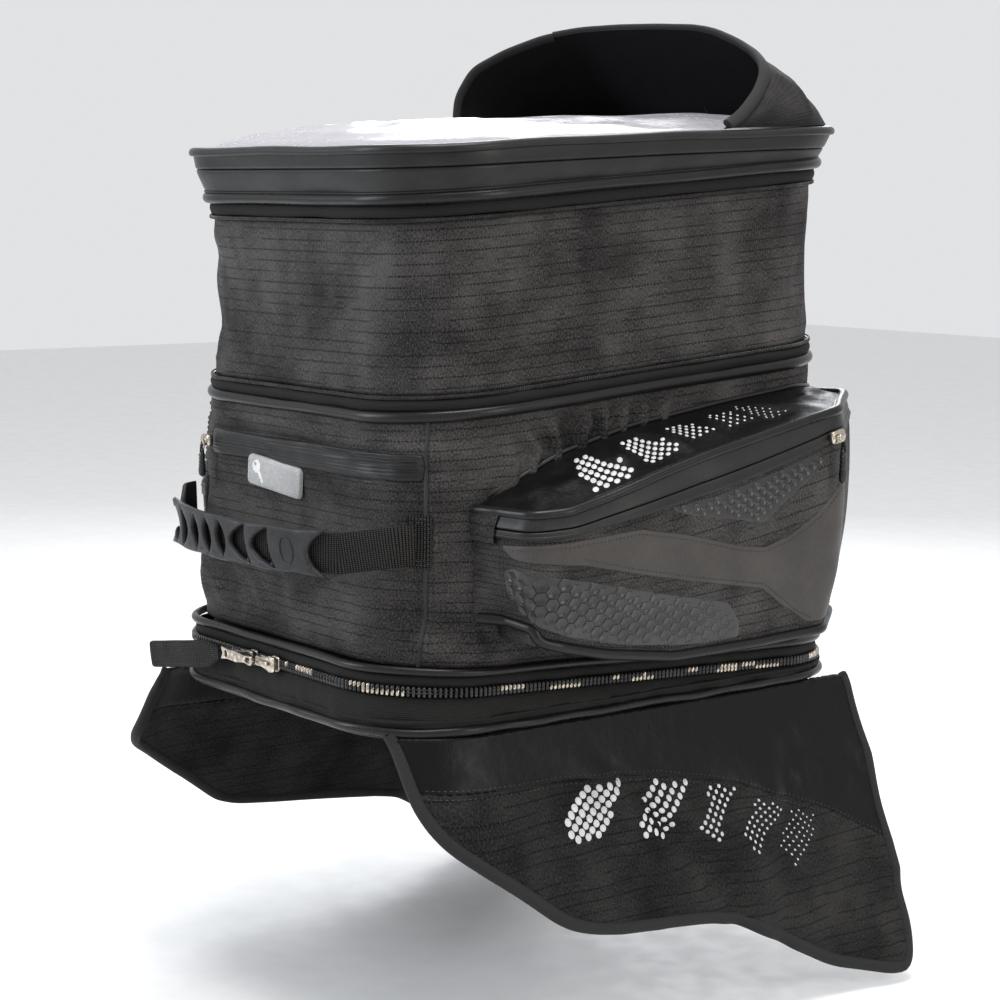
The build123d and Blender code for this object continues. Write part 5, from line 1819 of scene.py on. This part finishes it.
def visor_binding(piece, u):
    """Tape folded over the hood's free edge, as kind 2."""
    path = visor_point(u, np.ones(len(u)))
    below = visor_point(u, np.full(len(u), 0.96))
    tangent = unit(np.gradient(path, axis=0))
    across = unit(np.cross(tangent, path - below))
    path = path - unit(path - below) * 2.2 - across * 0.6
    sweep(piece, path, across, circle(1.0, 14) * (2.6, 4.2), kind=2)


def make_visor():
    """The stiff panel and the two soft corners beside it."""
    u = np.linspace(-1, 1, 401)
    over = u[fold_share(u) < 0.985]
    stiff = np.linspace(over[0], over[-1], 150)
    piece = Piece("visor_stiff_panel")
    visor_cloth(piece, stiff, fold_share(stiff), np.ones(150), 26)
    visor_binding(piece, stiff)
    piece.done("visor", "ripstop_fabric", [RIPSTOP_DARK, LINING, BINDING], "visor_panel")
    for side, way in (("right", 1), ("left", -1)):
        u = way * np.linspace(0.002, 1, 120)
        reach = abs(over[-1] if way > 0 else over[0])
        end = np.where(np.abs(u) >= reach, 1.0, fold_share(u) - 0.002)
        piece = Piece(f"visor_corner_{side}")
        visor_cloth(piece, u, np.full(120, -0.01), end, 22)
        visor_binding(piece, u[np.abs(u) >= reach - 0.004])
        obj = piece.done(None, "ripstop_fabric", [RIPSTOP_DARK, LINING, BINDING], f"visor_gusset_{side}")
        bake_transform(obj)


# ---------------------------------------------------------------- all the pieces
make_base()
make_lower_rings()
make_upper_rings()
make_wall()
make_gusset()
make_key_pocket()
make_handle()
make_pocket(1)
make_pocket(-1)
make_wing("right")
make_wing("left")
make_sliders()
make_lid()
make_visor()

# plain inner pieces kept from the CAD model
for node, material in (("base_grip_sheet", GRIP_SHEET), ("base_panel", BOARD), ("floor_stiffener", BOARD),
                       ("bag_floor", LINING), ("key_pocket_pouch", LINING), ("lid_map_panel", LINING),
                       ("lid_lining", LINING)):
    kept_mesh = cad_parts[node].data
    kept_mesh.materials.clear()
    kept_mesh.materials.append(material)


# ---------------------------------------------------------------- camera, light and floor
def turn_towards(place, target):
    return (Vector(target) - Vector(place)).to_track_quat("-Z", "Y")


def area_light(name, place, target, size, power, colour=(1, 1, 1), size_y=None):
    light = bpy.data.lights.new(name, "AREA")
    light.shape = "RECTANGLE"
    light.size, light.size_y = size, size_y or size
    light.energy, light.color = power, colour
    obj = bpy.data.objects.new(name, light)
    obj.location = place
    obj.rotation_mode = "QUATERNION"
    obj.rotation_quaternion = turn_towards(place, target)
    bpy.context.scene.collection.objects.link(obj)


def make_stage():
    """Camera, four soft lights, a pale sky and a pale floor."""
    camera = bpy.data.cameras.new("camera")
    camera.lens, camera.sensor_width = 83.93, 36.0
    camera.clip_start, camera.clip_end = 0.05, 50
    camera.dof.use_dof = False
    eye = bpy.data.objects.new("camera", camera)
    place, target = Vector((1.3033, -1.0063, 0.3444)), Vector((-0.00256, -0.00692, 0.12628))
    eye.location = place
    eye.rotation_mode = "QUATERNION"
    eye.rotation_quaternion = turn_towards(place, target) @ Quaternion((0, 0, 1), math.radians(0.435))
    bpy.context.scene.collection.objects.link(eye)
    bpy.context.scene.camera = eye

    middle = (0, 0, 0.16)
    area_light("softbox_above", (0.3, -0.1, 1.9), middle, 1.0, 34, (1.0, 0.99, 0.98))
    area_light("softbox_left", (-1.0, -1.7, 0.9), middle, 0.7, 23, (0.86, 0.92, 1.0), 1.3)
    area_light("softbox_right", (2.2, 0.5, 0.8), middle, 0.8, 16, (1.0, 0.95, 0.9), 1.3)
    area_light("rim_behind", (-1.3, 1.2, 1.1), (0, 0, 0.25), 0.9, 18, (0.95, 0.97, 1.0))

    world = bpy.data.worlds.new("studio")
    world.use_nodes = True
    sky = world.node_tree.nodes["Background"].inputs
    sky["Color"].default_value = (0.97, 0.98, 1.0, 1)
    sky["Strength"].default_value = 0.78
    bpy.context.scene.world = world
    bpy.context.scene.view_settings.view_transform = "Standard"

    mesh = bpy.data.meshes.new("studio_floor")
    low_point = cad_box[0][2] - 0.008
    corners = [(x, y, low_point) for x, y in ((-6, -6), (6, -6), (6, 6), (-6, 6))]
    mesh.from_pydata(corners, [], [(0, 1, 2, 3)])
    floor = bpy.data.objects.new("studio_floor", mesh)
    floor.data.materials.append(make_moulded("floor_paint", (0.80, 0.80, 0.80), (0.84, 0.84, 0.84), 0.6,
                                             0.02, 0.01))
    bpy.context.scene.collection.objects.link(floor)


make_stage()
